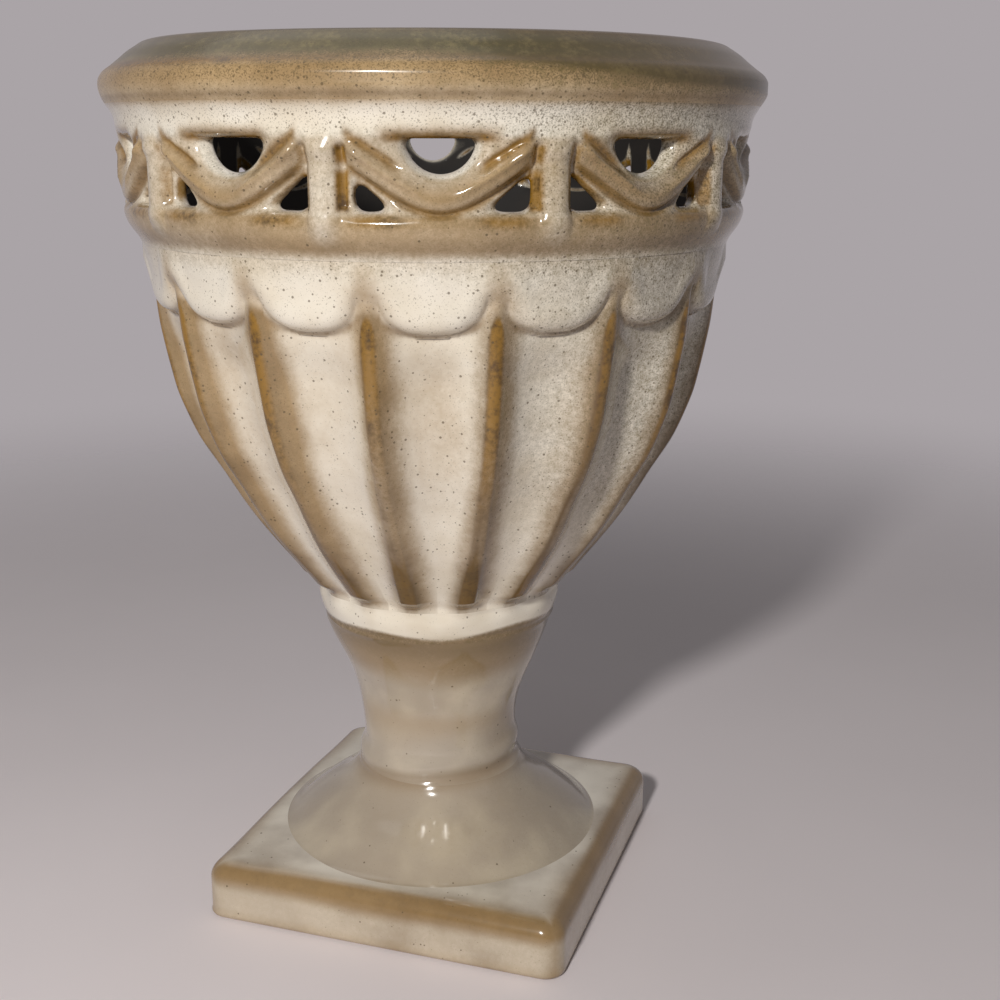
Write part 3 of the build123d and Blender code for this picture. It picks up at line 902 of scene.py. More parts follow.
def vase_materials(c):
    """The five glazes, made once and shared by the pieces: ground, roughness, coat, bump and breaking."""
    recipes = {
        "cream_glaze": ((c.cream, c.cream_shade), 0.16, 0.35, 0.25, 1.0),
        "tan_glaze": ((c.cream, c.cream_shade), 0.16, 0.35, 0.25, 1.0),
        "olive_glaze": ((c.cream_shade, c.tan), 0.26, 0.15, 0.20, 1.0),
        "foot_glaze": ((c.stone, c.cream_shade), 0.12, 0.45, 0.15, 0.3),
        "plinth_glaze": ((c.cream, c.stone), 0.17, 0.35, 0.15, 0.25),
    }
    made = {}
    for name, recipe in recipes.items():
        fired = f"fired_{name}"
        made[name] = bpy.data.materials.get(fired) or glaze_material(fired, c, *recipe)
    return made


# The rim lip

# Steps out from the rim's radius and up from the cove's top, over the crown and down the inside
LIP_CURVE = [
    (-0.75, 1.1), (-0.2, 2.4), (-0.02, 3.9), (-0.3, 5.3), (-1.2, 6.6), (-2.7, 7.7), (-4.6, 9.2), (-6.4, 10.7),
    (-8.4, 12.0), (-9.6, 12.7), (-10.9, 12.95), (-12.3, 12.75), (-13.5, 12.0), (-14.3, 10.4), (-14.6, 8.0),
    (-13.2, 4.0),
]


def build_lip(s, materials):
    angle = around(TURNED_COLUMNS)
    seat = s.cove_top
    outer_seat = (s.cove_radius, seat)
    inner_seat = (s.cove_radius - COVE_WALL, seat)
    rows = smooth_path([outer_seat] + outline(LIP_CURVE, s.rim_radius, seat) + [inner_seat], 6)
    radius, height = as_columns(rows)
    seated = smooth_step(0.0, 2.5, height - seat)
    swell = 0.22 * ripple(angle, height, s.seed + 3, longest=4)
    sway = 0.12 * ripple(angle, 0 * height, s.seed + 4, longest=4)
    radius = np.minimum(radius + swell * seated, s.rim_radius - CLEARANCE)
    height = np.minimum(height + sway * seated, s.lip_top - CLEARANCE)
    glaze = lip_glaze(s, angle, height, radius)
    creases = [0, len(rows) - 1]
    turned_piece("rim_lip", "olive_glaze", materials, angle, height, radius, glaze, creases)


def lip_glaze(s, angle, height, radius):
    """Olive over the crown and down the right side, tan under it, with a brown line where they meet. A dark
    line low on the lip is partly a dark joint and partly painted shadow under the roll, and umber down the
    right side is partly painted shade.
    """
    rise = height - s.cove_top
    right = right_iron_and_shade(angle)
    left = 1.0 - smooth_step(-0.6, 0.0, facing_right(angle))
    drip = 0.5 * ripple(angle, 0 * height, s.seed + 5, longest=14, count=9)
    olive = smooth_step(5.8, 9.4, rise + drip + 3.8 * right) * (0.84 + 0.16 * right)
    olive = olive + 0.12 + 0.55 * right * smooth_step(0.5, 4.0, rise)
    meeting = rise + 0.5 * drip
    amber = 0.15 * span(4.5, 8.0, 1.2, rise) * (1.0 - right) + 0.5 * left * hill(meeting - 7.1, 0.5)
    umber = (0.35 + 0.35 * left) * hill(meeting - 7.4, 0.6) * (1.0 - 0.5 * right)
    # Dark line low on the lip: partly a dark joint, partly painted shadow under the roll.
    umber = umber + 0.35 * hill(rise - 1.1, 0.6)
    # Umber over the crown's top, and down the right side partly as painted shade.
    umber = umber + 0.35 * smooth_step(11.2, 12.8, rise) + 0.5 * right * smooth_step(0.5, 5.0, rise)
    return {
        "tan": 0.75 + 0.25 * smooth_step(1.5, 4.0, rise),
        "amber": amber,
        "umber": umber,
        "olive": olive,
        "inside": np.where(radius < s.rim_radius - 12.5, smooth_step(11.5, 7.0, rise), 0.0),
        "specks": 0.45 + 0.85 * smooth_step(1.5, 6.5, rise) + 0.4 * right,
    }


# The bowl

# Radius of the ribs' crests, and how far up from the collar's top
RIB_CURVE = [
    (31.4, 0.0), (35.0, 5.0), (38.3, 9.0), (41.4, 13.0), (44.4, 17.0), (47.0, 21.0), (49.4, 25.0),
    (51.6, 29.0), (56.6, 37.0), (58.4, 41.0), (60.5, 46.5), (61.4, 49.0), (63.1, 57.0), (64.6, 65.0),
    (65.2, 71.0), (65.5, 75.0), (66.7, 79.3), (67.35, 83.5),
]
RIB_BLUR = 1.6
RIB_ROUND = 0.3
LOW_FLUTE_DEPTH = 2.3
BOWL_SWAY = 0.18

# Foot of the bowl, where the flutes fade into the round of the collar
HEAD_INSET = 0.35
HEAD_SCALLOP = 0.3
FOOT_BLEND = 3.8

# Tongues, with their half width in degrees round the bowl
TONGUE_DROP = 14.6
TONGUE_ARC = 4.6
TONGUE_HALF_DEGREES = 9.2
TONGUE_FALL = 0.9
VALLEY_DEPTH = 0.8
VALLEY_HALF = 2.6

# Inside of the bowl: radius and step up from its top, and the number of rows for each stretch
BOWL_INSIDE = [(57.0, -20.0), (51.5, -38.5), (46.5, -49.0), (40.0, -61.0), (32.0, -70.0), (22.0, -76.5)]
BOWL_INSIDE_STEPS = [10, 10, 6, 6, 6, 6, 5, 3]
BOWL_FLOOR = 5.0
FLOOR_CORNER = 16.0
FLOOR_MIDDLE = 6.0
SEAT_RADIUS = 26.0


def rib_crest(s, height):
    """Radius of the crest line of the ribs, and of the skin above them, by height."""
    return soft_profile([(radius, s.collar_top + rise) for radius, rise in RIB_CURVE], RIB_BLUR)(height)


def tongue_edge(s, from_flute_degrees):
    """Height of the lower edge of the tongues: a round tip under each flute, level over the ribs."""
    tip = s.bowl_top - TONGUE_DROP
    side = np.abs(from_flute_degrees) / TONGUE_HALF_DEGREES
    arc = tip + TONGUE_ARC * (1.0 - np.sqrt(np.clip(1.0 - np.minimum(side, 1.0) ** 2, 0.0, 1.0)))
    return np.where(side < 1.0, arc, tip + TONGUE_ARC + 0.7 * smooth_step(1.0, 1.2, side))


def collar_head(s, angle):
    """Radius where the bowl stands on the collar, a little fuller under each rib."""
    return s.collar_radius - HEAD_INSET + HEAD_SCALLOP * np.cos(s.ribs * (angle - s.rib_turn))


def bowl_skin(s, angle, height):
    """Outer radius of the bowl, with what its glaze needs to know.

    That is the signed distance from the nearest rib, the number of that rib, the distance above the
    tongues' edge, and the rise from nothing at the collar to one at the belt."""
    pitch = math.tau / s.ribs
    turns = (angle - s.rib_turn) / pitch
    nearest = np.round(turns)
    crest = rib_crest(s, height)
    from_rib = (turns - nearest) * pitch * crest
    x = np.abs(from_rib)
    rise = (height - s.collar_top) / (s.bowl_top - s.collar_top)
    half_pitch = pitch * crest / 2
    rib_half = s.rib_half * (1.6 - 0.6 * smooth_step(0.0, 0.5, rise))
    depth = LOW_FLUTE_DEPTH + (s.flute_depth - LOW_FLUTE_DEPTH) * smooth_step(0.0, 0.6, rise)
    depth = depth * (1.0 - 0.40 * smooth_step(s.bowl_top - 26.0, s.bowl_top - 15.0, height))
    run = np.clip((half_pitch - x) / (half_pitch - rib_half), 0.0, 1.0)
    flute = crest - RIB_ROUND - (depth - RIB_ROUND) * (1.0 - run**2.1)
    rib_round = crest - RIB_ROUND * (x / rib_half) ** 2
    ribbed = np.where(x < rib_half, rib_round, flute)
    near_collar = 1.0 - smooth_step(0.0, FOOT_BLEND, height - s.collar_top)
    ribbed = ribbed + (collar_head(s, angle) - ribbed) * near_collar
    degrees = np.degrees((half_pitch - x) / crest)
    slope = smooth_step(3.0, 8.0, degrees)
    above = (height - tongue_edge(s, degrees)) / np.sqrt(1.0 + (1.1 * slope) ** 2)
    valley_fade = 1.0 - smooth_step(s.bowl_top - 10.5, s.bowl_top - 5.0, height)
    body = crest + 0.7 * hill(above - 3.6, 3.4) - VALLEY_DEPTH * hill(x, VALLEY_HALF) * valley_fade
    lip_drop = s.tongue_proud * np.exp(-np.clip(above, 0.0, None) / TONGUE_FALL)
    band = np.where(above > -0.6, body - lip_drop, body - s.tongue_proud + 8.0 * above)
    skin = soft_max(ribbed, band, 0.9)
    return skin, from_rib, nearest.astype(int) % s.ribs, above, rise


def build_bowl(s, materials):
    columns = 1200
    count = 230
    angle = around(columns)
    heights = np.linspace(s.collar_top, s.bowl_top, count)[:, None]
    skin, from_rib, rib, above, rise = bowl_skin(s, angle, heights)
    sway = BOWL_SWAY * ripple(angle, heights, s.seed + 6)
    skin = skin + sway * span(s.collar_top + 4, s.bowl_top - 3, 3, heights)
    skin = np.minimum(skin, s.bowl_radius)
    floor = s.collar_top + BOWL_FLOOR
    mouth = (s.bowl_radius - MOUTH_WALL, s.bowl_top)
    corners = [mouth] + outline(BOWL_INSIDE, 0.0, s.bowl_top) + [(FLOOR_CORNER, floor), (FLOOR_MIDDLE, floor)]
    inside_radius, inside_height = as_columns(path_rows(corners, BOWL_INSIDE_STEPS))
    seat = path_rows([(FLOOR_MIDDLE, s.collar_top), (SEAT_RADIUS, s.collar_top)], [4])
    seat_radius, seat_height = as_columns(seat)
    ones = np.ones((1, columns))
    radius = np.vstack([seat_radius * ones, skin, inside_radius * ones])
    height = np.vstack([seat_height * ones, heights * ones, inside_height * ones])
    low = len(seat_radius)
    high = len(inside_radius)
    glaze = {}
    for label, value in bowl_glaze(s, angle, heights, from_rib, rib, above, rise).items():
        lining = {"inside": 1.0, "specks": 0.3}.get(label, 0.0)
        skin_value = np.broadcast_to(value, skin.shape)
        glaze[label] = np.vstack([np.zeros((low, columns)), skin_value, np.full((high, columns), lining)])
    creases = [low - 1, low, low + count - 1, low + count]
    turned_piece("bowl", "cream_glaze", materials, angle, height, radius, glaze, creases, closed=False)


def bowl_glaze(s, angle, height, from_rib, rib, above, rise):
    """Amber on the ribs' crests, tan on one flank and at the cusps, cream in the flutes. Painted shade
    darkens the left side of each rib, the flanks beside the ribs, the line under the tongues and the right
    side of the bowl.
    """
    draw = np.random.default_rng(s.seed + 8)
    strength = draw.uniform(0.75, 1.0, s.ribs)[rib]
    stretch = draw.uniform(-0.12, 0.10, s.ribs)[rib]
    x = np.abs(from_rib)
    right = right_iron_and_shade(angle)
    left = right_iron_and_shade(angle + math.pi)
    uneven = patches(angle, height, s.seed + 9, longest=22, count=9, rise=420.0)
    wander = 0.6 * ripple(angle, height, s.seed + 21, longest=16, count=8, rise=240.0)
    below = 1.0 - smooth_step(-1.2, 0.4, above)
    tip = 1.0 - smooth_step(-1.6, -0.4, above + 1.2 * (x / s.rib_half) ** 2)
    stripe = 1.0 - smooth_step(s.rib_half - 0.3, s.rib_half + 0.8, x)
    upper = smooth_step(0.30, 0.72, rise + stretch)
    thread = hill(from_rib + 0.5 + 0.5 * wander, 0.55) * smooth_step(0.04, 0.25, rise) * (0.25 + 0.6 * uneven)
    over_collar = smooth_step(0.4, 1.8, height - s.collar_top - 0.12 * x**2)
    lower_end = (1.0 - smooth_step(0.10, 0.26, rise)) * over_collar
    amber = stripe * tip * strength * (0.10 + 0.90 * upper)
    amber = amber + 0.25 * (1.0 - smooth_step(1.2, 2.6, x)) * lower_end
    # Painted shade: a dark line down the left side of each rib, where its flank turns away from the light.
    painted_shade_left_of_rib = hill(from_rib + s.rib_half + 0.1, 0.5) * tip * (0.4 + 0.5 * uneven) * (0.4 + 0.6 * upper)
    # Flanks beside each rib: tan glaze, widened and darkened with umber as painted shade where the steep
    # flute walls turn from the light.
    to_right = smooth_step(-1.5, 1.5, from_rib)
    reach = 4.4 + 2.2 * to_right + wander + 0.8 * smooth_step(0.5, 0.1, rise)
    flank_tan_and_shade = (1.0 - smooth_step(0.30, 1.15, x / reach)) * below * (0.75 + 0.25 * to_right)
    cusp = hill(x, 3.4) * (1.0 - below) * (1.0 - smooth_step(2.0, 7.5, above))
    # Painted shadow: a dark line just under each tongue's lower edge, where it overhangs the flute.
    painted_shadow_under_tongue = hill(above + 0.2, 0.7) * smooth_step(1.6, 4.4, x)
    collar_edge = 1.0 - smooth_step(0.0, 0.03, rise)
    haze = 0.32 * below * smooth_step(0.45, 0.9, uneven) * smooth_step(0.25, 0.6, rise)
    tan = 0.80 * flank_tan_and_shade + 0.70 * cusp + 0.24 * smooth_step(s.bowl_top - 4.0, s.bowl_top, height)
    tan = tan + 0.45 * painted_shadow_under_tongue + haze + 0.08 * uneven
    tan = tan + 0.34 * left * smooth_step(0.0, 0.5, rise) * below
    umber = 0.85 * painted_shade_left_of_rib + 0.40 * thread * below + 0.50 * painted_shadow_under_tongue + 0.22 * flank_tan_and_shade
    umber = umber + 0.28 * hill(x, 2.4) * below * (1.0 - 0.8 * upper) + 0.80 * lower_end * hill(x, 3.0)
    # Right side of the bowl: more iron in the glaze, with umber and olive added as painted shade for the side
    # turned from the key lamp.
    umber = umber + 0.18 * right * smooth_step(0.0, 0.4, rise)
    olive = (0.12 * flank_tan_and_shade + 0.34 * right) * smooth_step(0.0, 0.6, rise) + 0.2 * amber
    return {
        "tan": tan * (1.0 - 0.7 * collar_edge),
        "amber": amber,
        "umber": umber,
        "olive": olive + 0.14 * smooth_step(s.bowl_top - 6.0, s.bowl_top, height),
        "inside": 0.0,
        "specks": 0.28 + 0.14 * (1.0 - below) + 0.28 * right * smooth_step(0.2, 0.8, rise),
    }


# The collar, stem and foot

# Steps out from the collar's radius and up from the stem's top
COLLAR_CURVE = [(-1.35, 1.0), (-0.75, 2.2), (-0.3, 3.8), (-0.1, 5.2), (-0.15, 6.6)]
# Radius of the stem, and how far up from the foot's top
STEM_FOOT_RADIUS = 20.6
STEM_CURVE = [
    (STEM_FOOT_RADIUS, 0.0), (19.9, 2.0), (19.3, 5.0), (19.2, 9.0), (19.5, 14.0), (20.4, 19.0),
    (22.2, 24.5), (24.4, 29.5), (26.7, 34.7),
]
STEM_BLUR = 1.2
STEM_WALL = 5.0
# Steps out from the foot's radius and up from the plinth's top
FOOT_CURVE = [
    (0.0, 0.0), (-0.8, 0.35), (-2.2, 1.3), (-5.0, 3.5), (-9.4, 6.7), (-13.8, 9.7), (-16.4, 12.0),
    (-18.2, 14.2),
]
FOOT_BORE = 16.0
FOOT_HOLLOW = [(-16.7, 4.8), (-10.0, 0.0)]
SEAM_RISE = 0.8


def build_collar(s, materials):
    angle = around(TURNED_COLUMNS)
    bore = s.neck_radius - STEM_WALL
    corners = [(s.neck_radius, s.stem_top)] + outline(COLLAR_CURVE, s.collar_radius, s.stem_top)
    outer = smooth_path(corners + [(s.collar_radius - HEAD_INSET, s.collar_top)], 8)
    rows = outer + path_rows([(bore, s.collar_top), (bore, s.stem_top)], [4])
    radius, height = as_columns(rows)
    scallop = np.cos(s.ribs * (angle - s.rib_turn))
    rise = (height - s.stem_top) / (s.collar_top - s.stem_top)
    outside = (np.arange(len(rows)) < len(outer))[:, None]
    flexing = span(0.1, 0.95, 0.1, rise) * outside
    lumps = 0.25 * ripple(angle, height, s.seed + 10, longest=7)
    radius = radius + HEAD_SCALLOP * scallop * smooth_step(0.4, 1.0, rise) * outside
    radius = np.minimum(radius + (lumps - 0.3) * flexing, s.collar_radius)
    mark = smooth_step(0.7, 1.0, rise) * np.clip(scallop, 0, 1)
    edge = 1.0 - smooth_step(0.16, 0.32, rise + 0.10 * ripple(angle, height, s.seed + 11, longest=6))
    glaze = {
        "tan": 0.15 * mark + 0.9 * edge,
        "amber": 0.1 * mark * patches(angle, height, s.seed + 12, longest=16),
        "umber": 0.45 * edge,
        "olive": 0.40 * edge,
        "specks": 0.1,
    }
    creases = [0, len(outer) - 1, len(outer), len(rows) - 1]
    turned_piece("collar", "cream_glaze", materials, angle, height, radius, glaze, creases)


def seam_offset(s, angle, height):
    """Distance above the luted seam at the foot of the stem, which wanders up and down."""
    drift = 1.4 * np.sin(angle + 1.2) + 0.5 * ripple(angle, 0 * angle, s.seed + 13, longest=6)
    return height - s.foot_top - SEAM_RISE - drift


def build_stem(s, materials):
    angle = around(TURNED_COLUMNS)
    low = s.foot_top
    high = s.stem_top
    profile = soft_profile(outline(STEM_CURVE, 0.0, low) + [(s.neck_radius, high)], STEM_BLUR)
    outer = np.linspace(low, high, 110)
    height = np.concatenate([outer, np.linspace(high, low, 24)])[:, None]
    outside = (np.arange(len(height)) < len(outer))[:, None]
    radius = profile(height) - np.where(outside, 0.0, STEM_WALL)
    seated = span(low + 0.4, high - 0.6, 0.8, height) * outside
    lumps = 0.45 * ripple(angle, height, s.seed + 14, longest=4, rise=40.0)
    seam = seam_offset(s, angle, height)
    swell = 0.75 * hill(seam - 3.4, 2.2) - 0.35 * hill(seam, 1.4)
    radius = radius + (lumps + swell) * seated
    radius = np.where(height > high - 2.0, np.minimum(radius, s.neck_radius), radius)
    rise = (height - low) / (high - low)
    uneven = patches(angle, height, s.seed + 15, longest=4, rise=30.0)
    dark_band = smooth_step(0.64, 0.84, rise + 0.06 * (uneven - 0.5))
    darkest = smooth_step(0.82, 0.97, rise)
    patch = span(0.26, 0.45, 0.09, rise + 0.10 * (uneven - 0.5)) * (0.3 + 0.7 * uneven)
    seam_line = hill(seam, 1.8) * (0.4 + 0.6 * uneven)
    glaze = {
        "tan": 0.70 * dark_band + 0.55 * patch + 0.45 * seam_line + 0.08 * uneven,
        "amber": 0.06 * patch + 0.05 * dark_band,
        "umber": 0.24 * dark_band + 0.24 * darkest + 0.40 * seam_line + 0.12 * patch,
        "olive": 0.16 * dark_band + 0.20 * darkest + 0.10 * right_iron_and_shade(angle),
        "specks": 0.05,
    }
    creases = [0, len(outer) - 1, len(outer), len(height) - 1]
    turned_piece("stem", "foot_glaze", materials, angle, height, radius, glaze, creases)


def build_foot(s, materials):
    angle = around(TURNED_COLUMNS)
    low = s.plinth_top
    high = s.foot_top
    outer = smooth_path(outline(FOOT_CURVE, s.foot_radius, low) + [(STEM_FOOT_RADIUS, high)], 9)
    rows = outer + path_rows([(FOOT_BORE, high)] + outline(FOOT_HOLLOW, s.foot_radius, low), [8, 8])
    radius, height = as_columns(rows)
    outside = (np.arange(len(rows)) < len(outer))[:, None]
    seated = span(low + 0.8, high - 0.8, 0.8, height) * outside
    lumps = 0.35 * ripple(angle, height, s.seed + 16, longest=4, rise=60.0)
    seam = seam_offset(s, angle, height)
    radius = np.minimum(radius + (lumps - 0.35 * hill(seam, 1.5)) * seated, s.foot_radius)
    uneven = patches(angle, height, s.seed + 17, longest=5, rise=50.0)
    glaze = {
        "tan": 0.08 + 0.14 * uneven + 0.35 * hill(seam, 2.2),
        "amber": 0.0,
        "umber": 0.10 + 0.35 * hill(seam, 2.0) * (0.4 + 0.6 * uneven),
        "olive": 0.04 + 0.08 * right_iron_and_shade(angle),
        "specks": 0.02,
    }
    creases = [0, len(outer) - 1, len(outer), len(rows) - 1]
    turned_piece("foot_flare", "foot_glaze", materials, angle, height, radius, glaze, creases)


# The plinth

TOE = 1.6
EDGE = 4.4
CORNER = 5.0
PLINTH_WALL = 6.0
SLAB = 6.0
VENT_CHAMFER = 2.5


def square_ring(half, corner, per_side=120, per_corner=24):
    """Points round a square with rounded corners, the same number at any size."""
    corner = max(corner, 0.01)
    flat = half - corner
    points = []
    for quarter in range(4):
        turn = quarter * math.pi / 2
        cos = math.cos(turn)
        sin = math.sin(turn)
        stretch = [(half, -flat + 2 * flat * k / per_side) for k in range(per_side)]
        bend = [
            (flat + corner * math.cos(a), flat + corner * math.sin(a))
            for a in (math.pi / 2 * k / per_corner for k in range(per_corner))
        ]
        points += [(x * cos - y * sin, x * sin + y * cos) for x, y in stretch + bend]
    return np.array(points)


def build_plinth(s, materials):
    half = s.plinth_half
    top = s.plinth_top
    vent = s.foot_radius - 10.0
    rows = []

    def add(inset, height, blend=0.0):
        """Row at an inset from the side; the blend turns its square into the circle of the vent."""
        ring = square_ring(half - inset, CORNER - inset * 0.6)
        if blend:
            angles = np.arctan2(ring[:, 1], ring[:, 0])
            circle = vent * np.stack([np.cos(angles), np.sin(angles)], axis=1)
            ring = ring * (1 - blend) + circle * blend
        rows.append(np.column_stack([ring, np.full(len(ring), height)]))

    for inset in (PLINTH_WALL, PLINTH_WALL - 2.0, TOE):
        add(inset, 0.0)
    for k in range(1, 7):
        bend = math.pi / 2 * k / 6
        add(TOE * (1 - math.sin(bend)), TOE * (1 - math.cos(bend)))
    for k in range(1, 16):
        add(0.0, TOE + (top - EDGE - TOE) * k / 15)
    for k in range(1, 13):
        bend = math.pi / 2 * k / 12
        add(EDGE * (1 - math.cos(bend)), top - EDGE * (1 - math.sin(bend)))
    for k in range(1, 31):
        add(EDGE, top, k / 30)
    outer_count = len(rows)
    for k in range(1, 5):
        add(EDGE, top - (top - SLAB - VENT_CHAMFER) * k / 4, 1.0)
    for k in range(1, 9):
        add(PLINTH_WALL, top - SLAB, 1.0 - k / 8)
    add(PLINTH_WALL, (top - SLAB) / 2)
    points = np.array(rows)
    count, columns = points.shape[:2]
    angle = np.arctan2(points[..., 1], points[..., 0])
    outside = (np.arange(count) < outer_count)[:, None]
    free = outside * smooth_step(0.2, 2.0, points[..., 2])
    sag = 0.22 * ripple(angle, 0 * angle, s.seed + 18, longest=5)
    points[..., :2] *= (1.0 + free * np.minimum(sag - 0.25, 0.0) / half)[..., None]
    level = np.hypot(points[..., 0], points[..., 1])
    crown = smooth_step(s.foot_radius + 0.5, half * 1.2, level) * smooth_step(TOE, top, points[..., 2])
    points[..., 2] -= outside * crown * (0.5 + 0.12 * ripple(angle, level, s.seed + 19))
    glaze = plinth_glaze(s, points, outside)
    values = {label: np.broadcast_to(value, (count, columns)).ravel() for label, value in glaze.items()}
    faces = ring_faces(count, columns, True)
    flat = points.reshape(-1, 3)
    obj = finish_mesh("plinth", flat, faces, values, materials["plinth_glaze"], ["plinth"])
    mark_creases(obj.data, columns, [0, outer_count - 1, outer_count + 3, count - 2], count)


def plinth_glaze(s, points, outside):
    """Cream on the top, burnt to amber along the upper edges and down the corners, beige below. The side
    faces are darker partly as painted shade, the glaze is darker towards the bottom, and a dark line along
    the bottom edge is a painted contact shadow.
    """
    x, y, z = np.moveaxis(points, -1, 0)
    angle = np.arctan2(y, x)
    inset = s.plinth_half - np.maximum(np.abs(x), np.abs(y))
    other = s.plinth_half - np.minimum(np.abs(x), np.abs(y))
    uneven = patches(angle, z, s.seed + 20, longest=9, rise=60.0)
    from_edge = inset + np.clip(s.plinth_top - z, 0.0, None) + 1.2 * (uneven - 0.5)
    over_top = smooth_step(2.2, 4.4, inset)
    on_side = 1.0 - over_top
    top_band = 1.0 - smooth_step(1.5, 9.0, from_edge)
    side_band = 1.0 - smooth_step(2.8, 7.6, from_edge)
    band = top_band * over_top + side_band * on_side
    burnt = np.clip(band + 0.55 * hill(other, 3.0) * on_side, 0.0, 1.0)
    halo = hill(np.hypot(x, y) - s.foot_radius - 1.0, 5.0) * over_top
    low = 1.0 - smooth_step(0.8, 4.0, z)
    # Tan on the side faces is partly beige glaze and partly painted shade; more tan towards the bottom.
    tan = 0.44 * on_side + 0.12 * over_top + 0.6 * burnt + 0.20 * low
    return {
        "tan": tan * (1.0 - 0.95 * halo) * outside,
        "amber": 0.36 * burnt**2 * (0.55 + 0.55 * uneven) * outside,
        # Umber on the side faces is partly painted shade; the line at the bottom edge is a painted contact
        # shadow.
        "umber": (0.26 * burnt + 0.06 * on_side + 0.25 * hill(z - 0.4, 0.7)) * outside,
        "olive": (0.12 + 0.10 * right_iron_and_shade(angle)) * on_side + 0.05 * over_top * (1.0 - halo),
        "inside": 0.0,
        "specks": 0.04,
    }


# Stage

FLOOR_REACH = 3.0
FADE_START = 0.20
FADE_END = 0.70

# Lamps: name, place in the view's axes, target, size, share of the group's power, tint
KEY_LAMP = ("key", (-0.19, -0.58, 0.40), (0, 0, 0.13), 0.06, 1.0, (1.0, 0.985, 0.96))
FILL_LAMPS = [
    ("fill", (0.75, -0.55, 0.35), (0, 0, 0.1), 0.7, 0.4, (0.97, 0.98, 1.0)),
    ("top", (-0.2, 0.25, 0.9), (0, 0, 0.1), 0.7, 2.0, (1.0, 1.0, 1.0)),
]

# Camera as fitted to the photograph: place in metres, and its direction in degrees in the view's axes
CAMERA_PLACE = (0.11718, -0.31010, 0.18630)
CAMERA_YAW = 2.61
CAMERA_PITCH = -14.88
CAMERA_ROLL = 0.23


def build_floor(settings):
    rings = 60
    columns = 96
    radii = FLOOR_REACH * (np.arange(1, rings + 1) / rings) ** 2
    angles = np.linspace(0, math.tau, columns, endpoint=False)
    points = [(0.0, 0.0, 0.0)]
    points += [(r * math.cos(a), r * math.sin(a), 0.0) for r in radii for a in angles]
    around_ring = [(k, (k + 1) % columns) for k in range(columns)]
    faces = [[0, 1 + a, 1 + b] for a, b in around_ring]
    for ring in range(rings - 1):
        low = 1 + ring * columns
        high = low + columns
        faces += [[low + a, high + a, high + b, low + b] for a, b in around_ring]
    mesh = bpy.data.meshes.new("floor")
    mesh.from_pydata(points, [], faces)
    obj = bpy.data.objects.new("floor", mesh)
    bpy.context.scene.collection.objects.link(obj)
    material = bpy.data.materials.new("floor_paper")
    n = Shader(material)
    place = n.node("ShaderNodeTexCoord").outputs["Object"]
    distance = n.node("ShaderNodeVectorMath", {0: place}, operation="LENGTH").outputs["Value"]
    fade = n.spread(distance, FADE_START, FADE_END)
    light = tuple(settings.floor_colour)
    shade = tuple(0.97 * value for value in light)
    paper = n.mix(n.spread(n.noise(place, 0.12), 0.3, 0.7), light, shade)
    surface = n.node("ShaderNodeBsdfPrincipled", {"Base Color": paper, "Roughness": 0.7})
    clear = n.node("ShaderNodeBsdfTransparent")
    blend = n.node("ShaderNodeMixShader", {0: fade, 1: surface.outputs[0], 2: clear.outputs[0]})
    n.node("ShaderNodeOutputMaterial", {"Surface": blend.outputs[0]})
    mesh.materials.append(material)


def build_world(settings):
    """Even light for the vase, and a plain backdrop where the camera and the gloss look past the floor."""
    world = bpy.data.worlds.new("studio")
    n = Shader(world)
    path = n.node("ShaderNodeLightPath")
    seen = n.maths("MAXIMUM", path.outputs["Is Camera Ray"], path.outputs["Is Transmission Ray"])
    seen = n.maths("MAXIMUM", seen, path.outputs["Is Glossy Ray"])
    light = n.node("ShaderNodeBackground", {"Color": (1, 1, 1, 1), "Strength": settings.world_level})
    backdrop = n.node("ShaderNodeBackground", {"Color": (*settings.backdrop_colour, 1), "Strength": 1.0})
    blend = n.node("ShaderNodeMixShader", {0: seen, 1: light.outputs[0], 2: backdrop.outputs[0]})
    n.node("ShaderNodeOutputWorld", {"Surface": blend.outputs[0]})
    bpy.context.scene.world = world


def add_lamp(power, name, place, target, size, share, tint):
    """Round lamp that takes a share of a power."""
    lamp = bpy.data.lights.new(name, "AREA")
    lamp.shape = "DISK"
    lamp.size = size
    lamp.energy = share * power
    lamp.color = tint
    obj = bpy.data.objects.new(name, lamp)
    bpy.context.scene.collection.objects.link(obj)
    turned = Matrix.Rotation(math.radians(VIEW_AZIMUTH), 4, "Z")
    here = turned @ Vector(place)
    obj.location = here
    obj.rotation_euler = (Vector(target) - here).to_track_quat("-Z", "Y").to_euler()


def build_lamps(settings):
    add_lamp(settings.key_power, *KEY_LAMP)
    for lamp in FILL_LAMPS:
        add_lamp(settings.fill_power, *lamp)


def build_camera(settings):
    """Camera at the photograph's viewpoint."""
    yaw = math.radians(CAMERA_YAW)
    pitch = math.radians(CAMERA_PITCH)
    roll = math.radians(CAMERA_ROLL)
    forward = Vector((math.sin(yaw) * math.cos(pitch), math.cos(yaw) * math.cos(pitch), math.sin(pitch)))
    right = Vector((math.cos(yaw), -math.sin(yaw), 0.0))
    up = right.cross(forward)
    side = right * math.cos(roll) + up * math.sin(roll)
    rise = up * math.cos(roll) - right * math.sin(roll)
    turned = Matrix.Rotation(math.radians(VIEW_AZIMUTH), 3, "Z")
    basis = turned @ Matrix((side, rise, -forward)).transposed()
    camera = bpy.data.cameras.new("camera")
    camera.lens = settings.lens
    camera.sensor_width = 36.0
    camera.clip_start = 0.01
    camera.clip_end = 20.0
    obj = bpy.data.objects.new("camera", camera)
    bpy.context.scene.collection.objects.link(obj)
    obj.matrix_world = Matrix.Translation(CAMERA_PLACE) @ basis.to_4x4()
    bpy.context.scene.camera = obj


# Operators

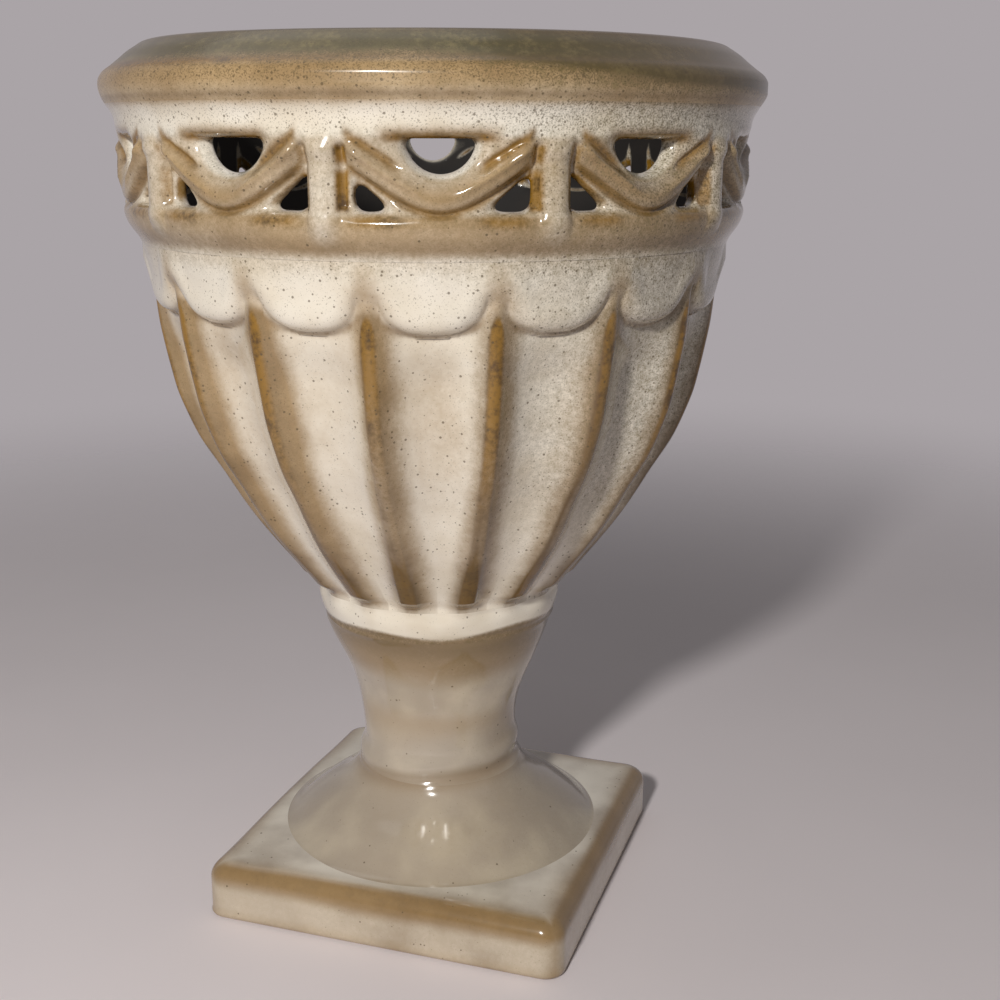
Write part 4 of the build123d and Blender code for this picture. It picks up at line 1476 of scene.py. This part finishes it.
class VasePiece:
    """What the operators share"""

    bl_options = {"REGISTER", "UNDO"}

    def execute(self, context):
        materials = vase_materials(plain_colours(context.scene.glaze_colours))
        self.build(plain_sizes(context.scene.vase_sizes), materials)
        return {"FINISHED"}


class VASE_OT_lip(VasePiece, bpy.types.Operator):
    """Add the rolled lip of the rim"""

    bl_idname = "vase.lip"
    bl_label = "Rolled Lip"

    def build(self, s, materials):
        build_lip(s, materials)


class VASE_OT_gallery(VasePiece, bpy.types.Operator):
    """Add the belt, the posts, the swags and the cove of the pierced gallery"""

    bl_idname = "vase.gallery"
    bl_label = "Pierced Gallery"

    def build(self, s, materials):
        build_gallery_pieces(s, materials)


class VASE_OT_bowl(VasePiece, bpy.types.Operator):
    """Add the fluted bowl with its tongues"""

    bl_idname = "vase.bowl"
    bl_label = "Fluted Bowl"

    def build(self, s, materials):
        build_bowl(s, materials)


class VASE_OT_pedestal(VasePiece, bpy.types.Operator):
    """Add the collar, the stem and the flared foot"""

    bl_idname = "vase.pedestal"
    bl_label = "Pedestal"

    def build(self, s, materials):
        build_collar(s, materials)
        build_stem(s, materials)
        build_foot(s, materials)


class VASE_OT_plinth(VasePiece, bpy.types.Operator):
    """Add the square plinth"""

    bl_idname = "vase.plinth"
    bl_label = "Plinth"

    def build(self, s, materials):
        build_plinth(s, materials)


class VASE_OT_stage(bpy.types.Operator):
    """Add the floor, the even light, the lamps and the camera"""

    bl_idname = "vase.stage"
    bl_label = "Stage"
    bl_options = {"REGISTER", "UNDO"}

    def execute(self, context):
        settings = context.scene.stage_settings
        context.scene.view_settings.view_transform = "Standard"
        build_floor(settings)
        build_world(settings)
        build_lamps(settings)
        build_camera(settings)
        return {"FINISHED"}


class VASE_PT_panel(bpy.types.Panel):
    """Sizes, colours and steps of the vase"""

    bl_idname = "VASE_PT_panel"
    bl_label = "Footed Urn Vase"
    bl_space_type = "VIEW_3D"
    bl_region_type = "UI"
    bl_category = "Vase"

    def draw(self, context):
        scene = context.scene
        for operator in OPERATORS:
            self.layout.operator(operator.bl_idname)
        groups = {"Sizes": scene.vase_sizes, "Colours": scene.glaze_colours, "Stage": scene.stage_settings}
        for label, group in groups.items():
            box = self.layout.box()
            box.label(text=label)
            for prop in own_properties(group):
                box.prop(group, prop.identifier)


GROUPS = (VaseSizes, GlazeColours, StageSettings)
OPERATORS = (VASE_OT_lip, VASE_OT_gallery, VASE_OT_bowl, VASE_OT_pedestal, VASE_OT_plinth, VASE_OT_stage)


def register():
    for cls in GROUPS + OPERATORS + (VASE_PT_panel,):
        bpy.utils.register_class(cls)
    bpy.types.Scene.vase_sizes = PointerProperty(type=VaseSizes)
    bpy.types.Scene.glaze_colours = PointerProperty(type=GlazeColours)
    bpy.types.Scene.stage_settings = PointerProperty(type=StageSettings)


def unregister():
    del bpy.types.Scene.stage_settings
    del bpy.types.Scene.glaze_colours
    del bpy.types.Scene.vase_sizes
    for cls in reversed(GROUPS + OPERATORS + (VASE_PT_panel,)):
        bpy.utils.unregister_class(cls)


def main():
    register()
    bpy.ops.vase.lip()
    bpy.ops.vase.gallery()
    bpy.ops.vase.bowl()
    bpy.ops.vase.pedestal()
    bpy.ops.vase.plinth()
    bpy.ops.vase.stage()


if __name__ == "__main__":
    main()
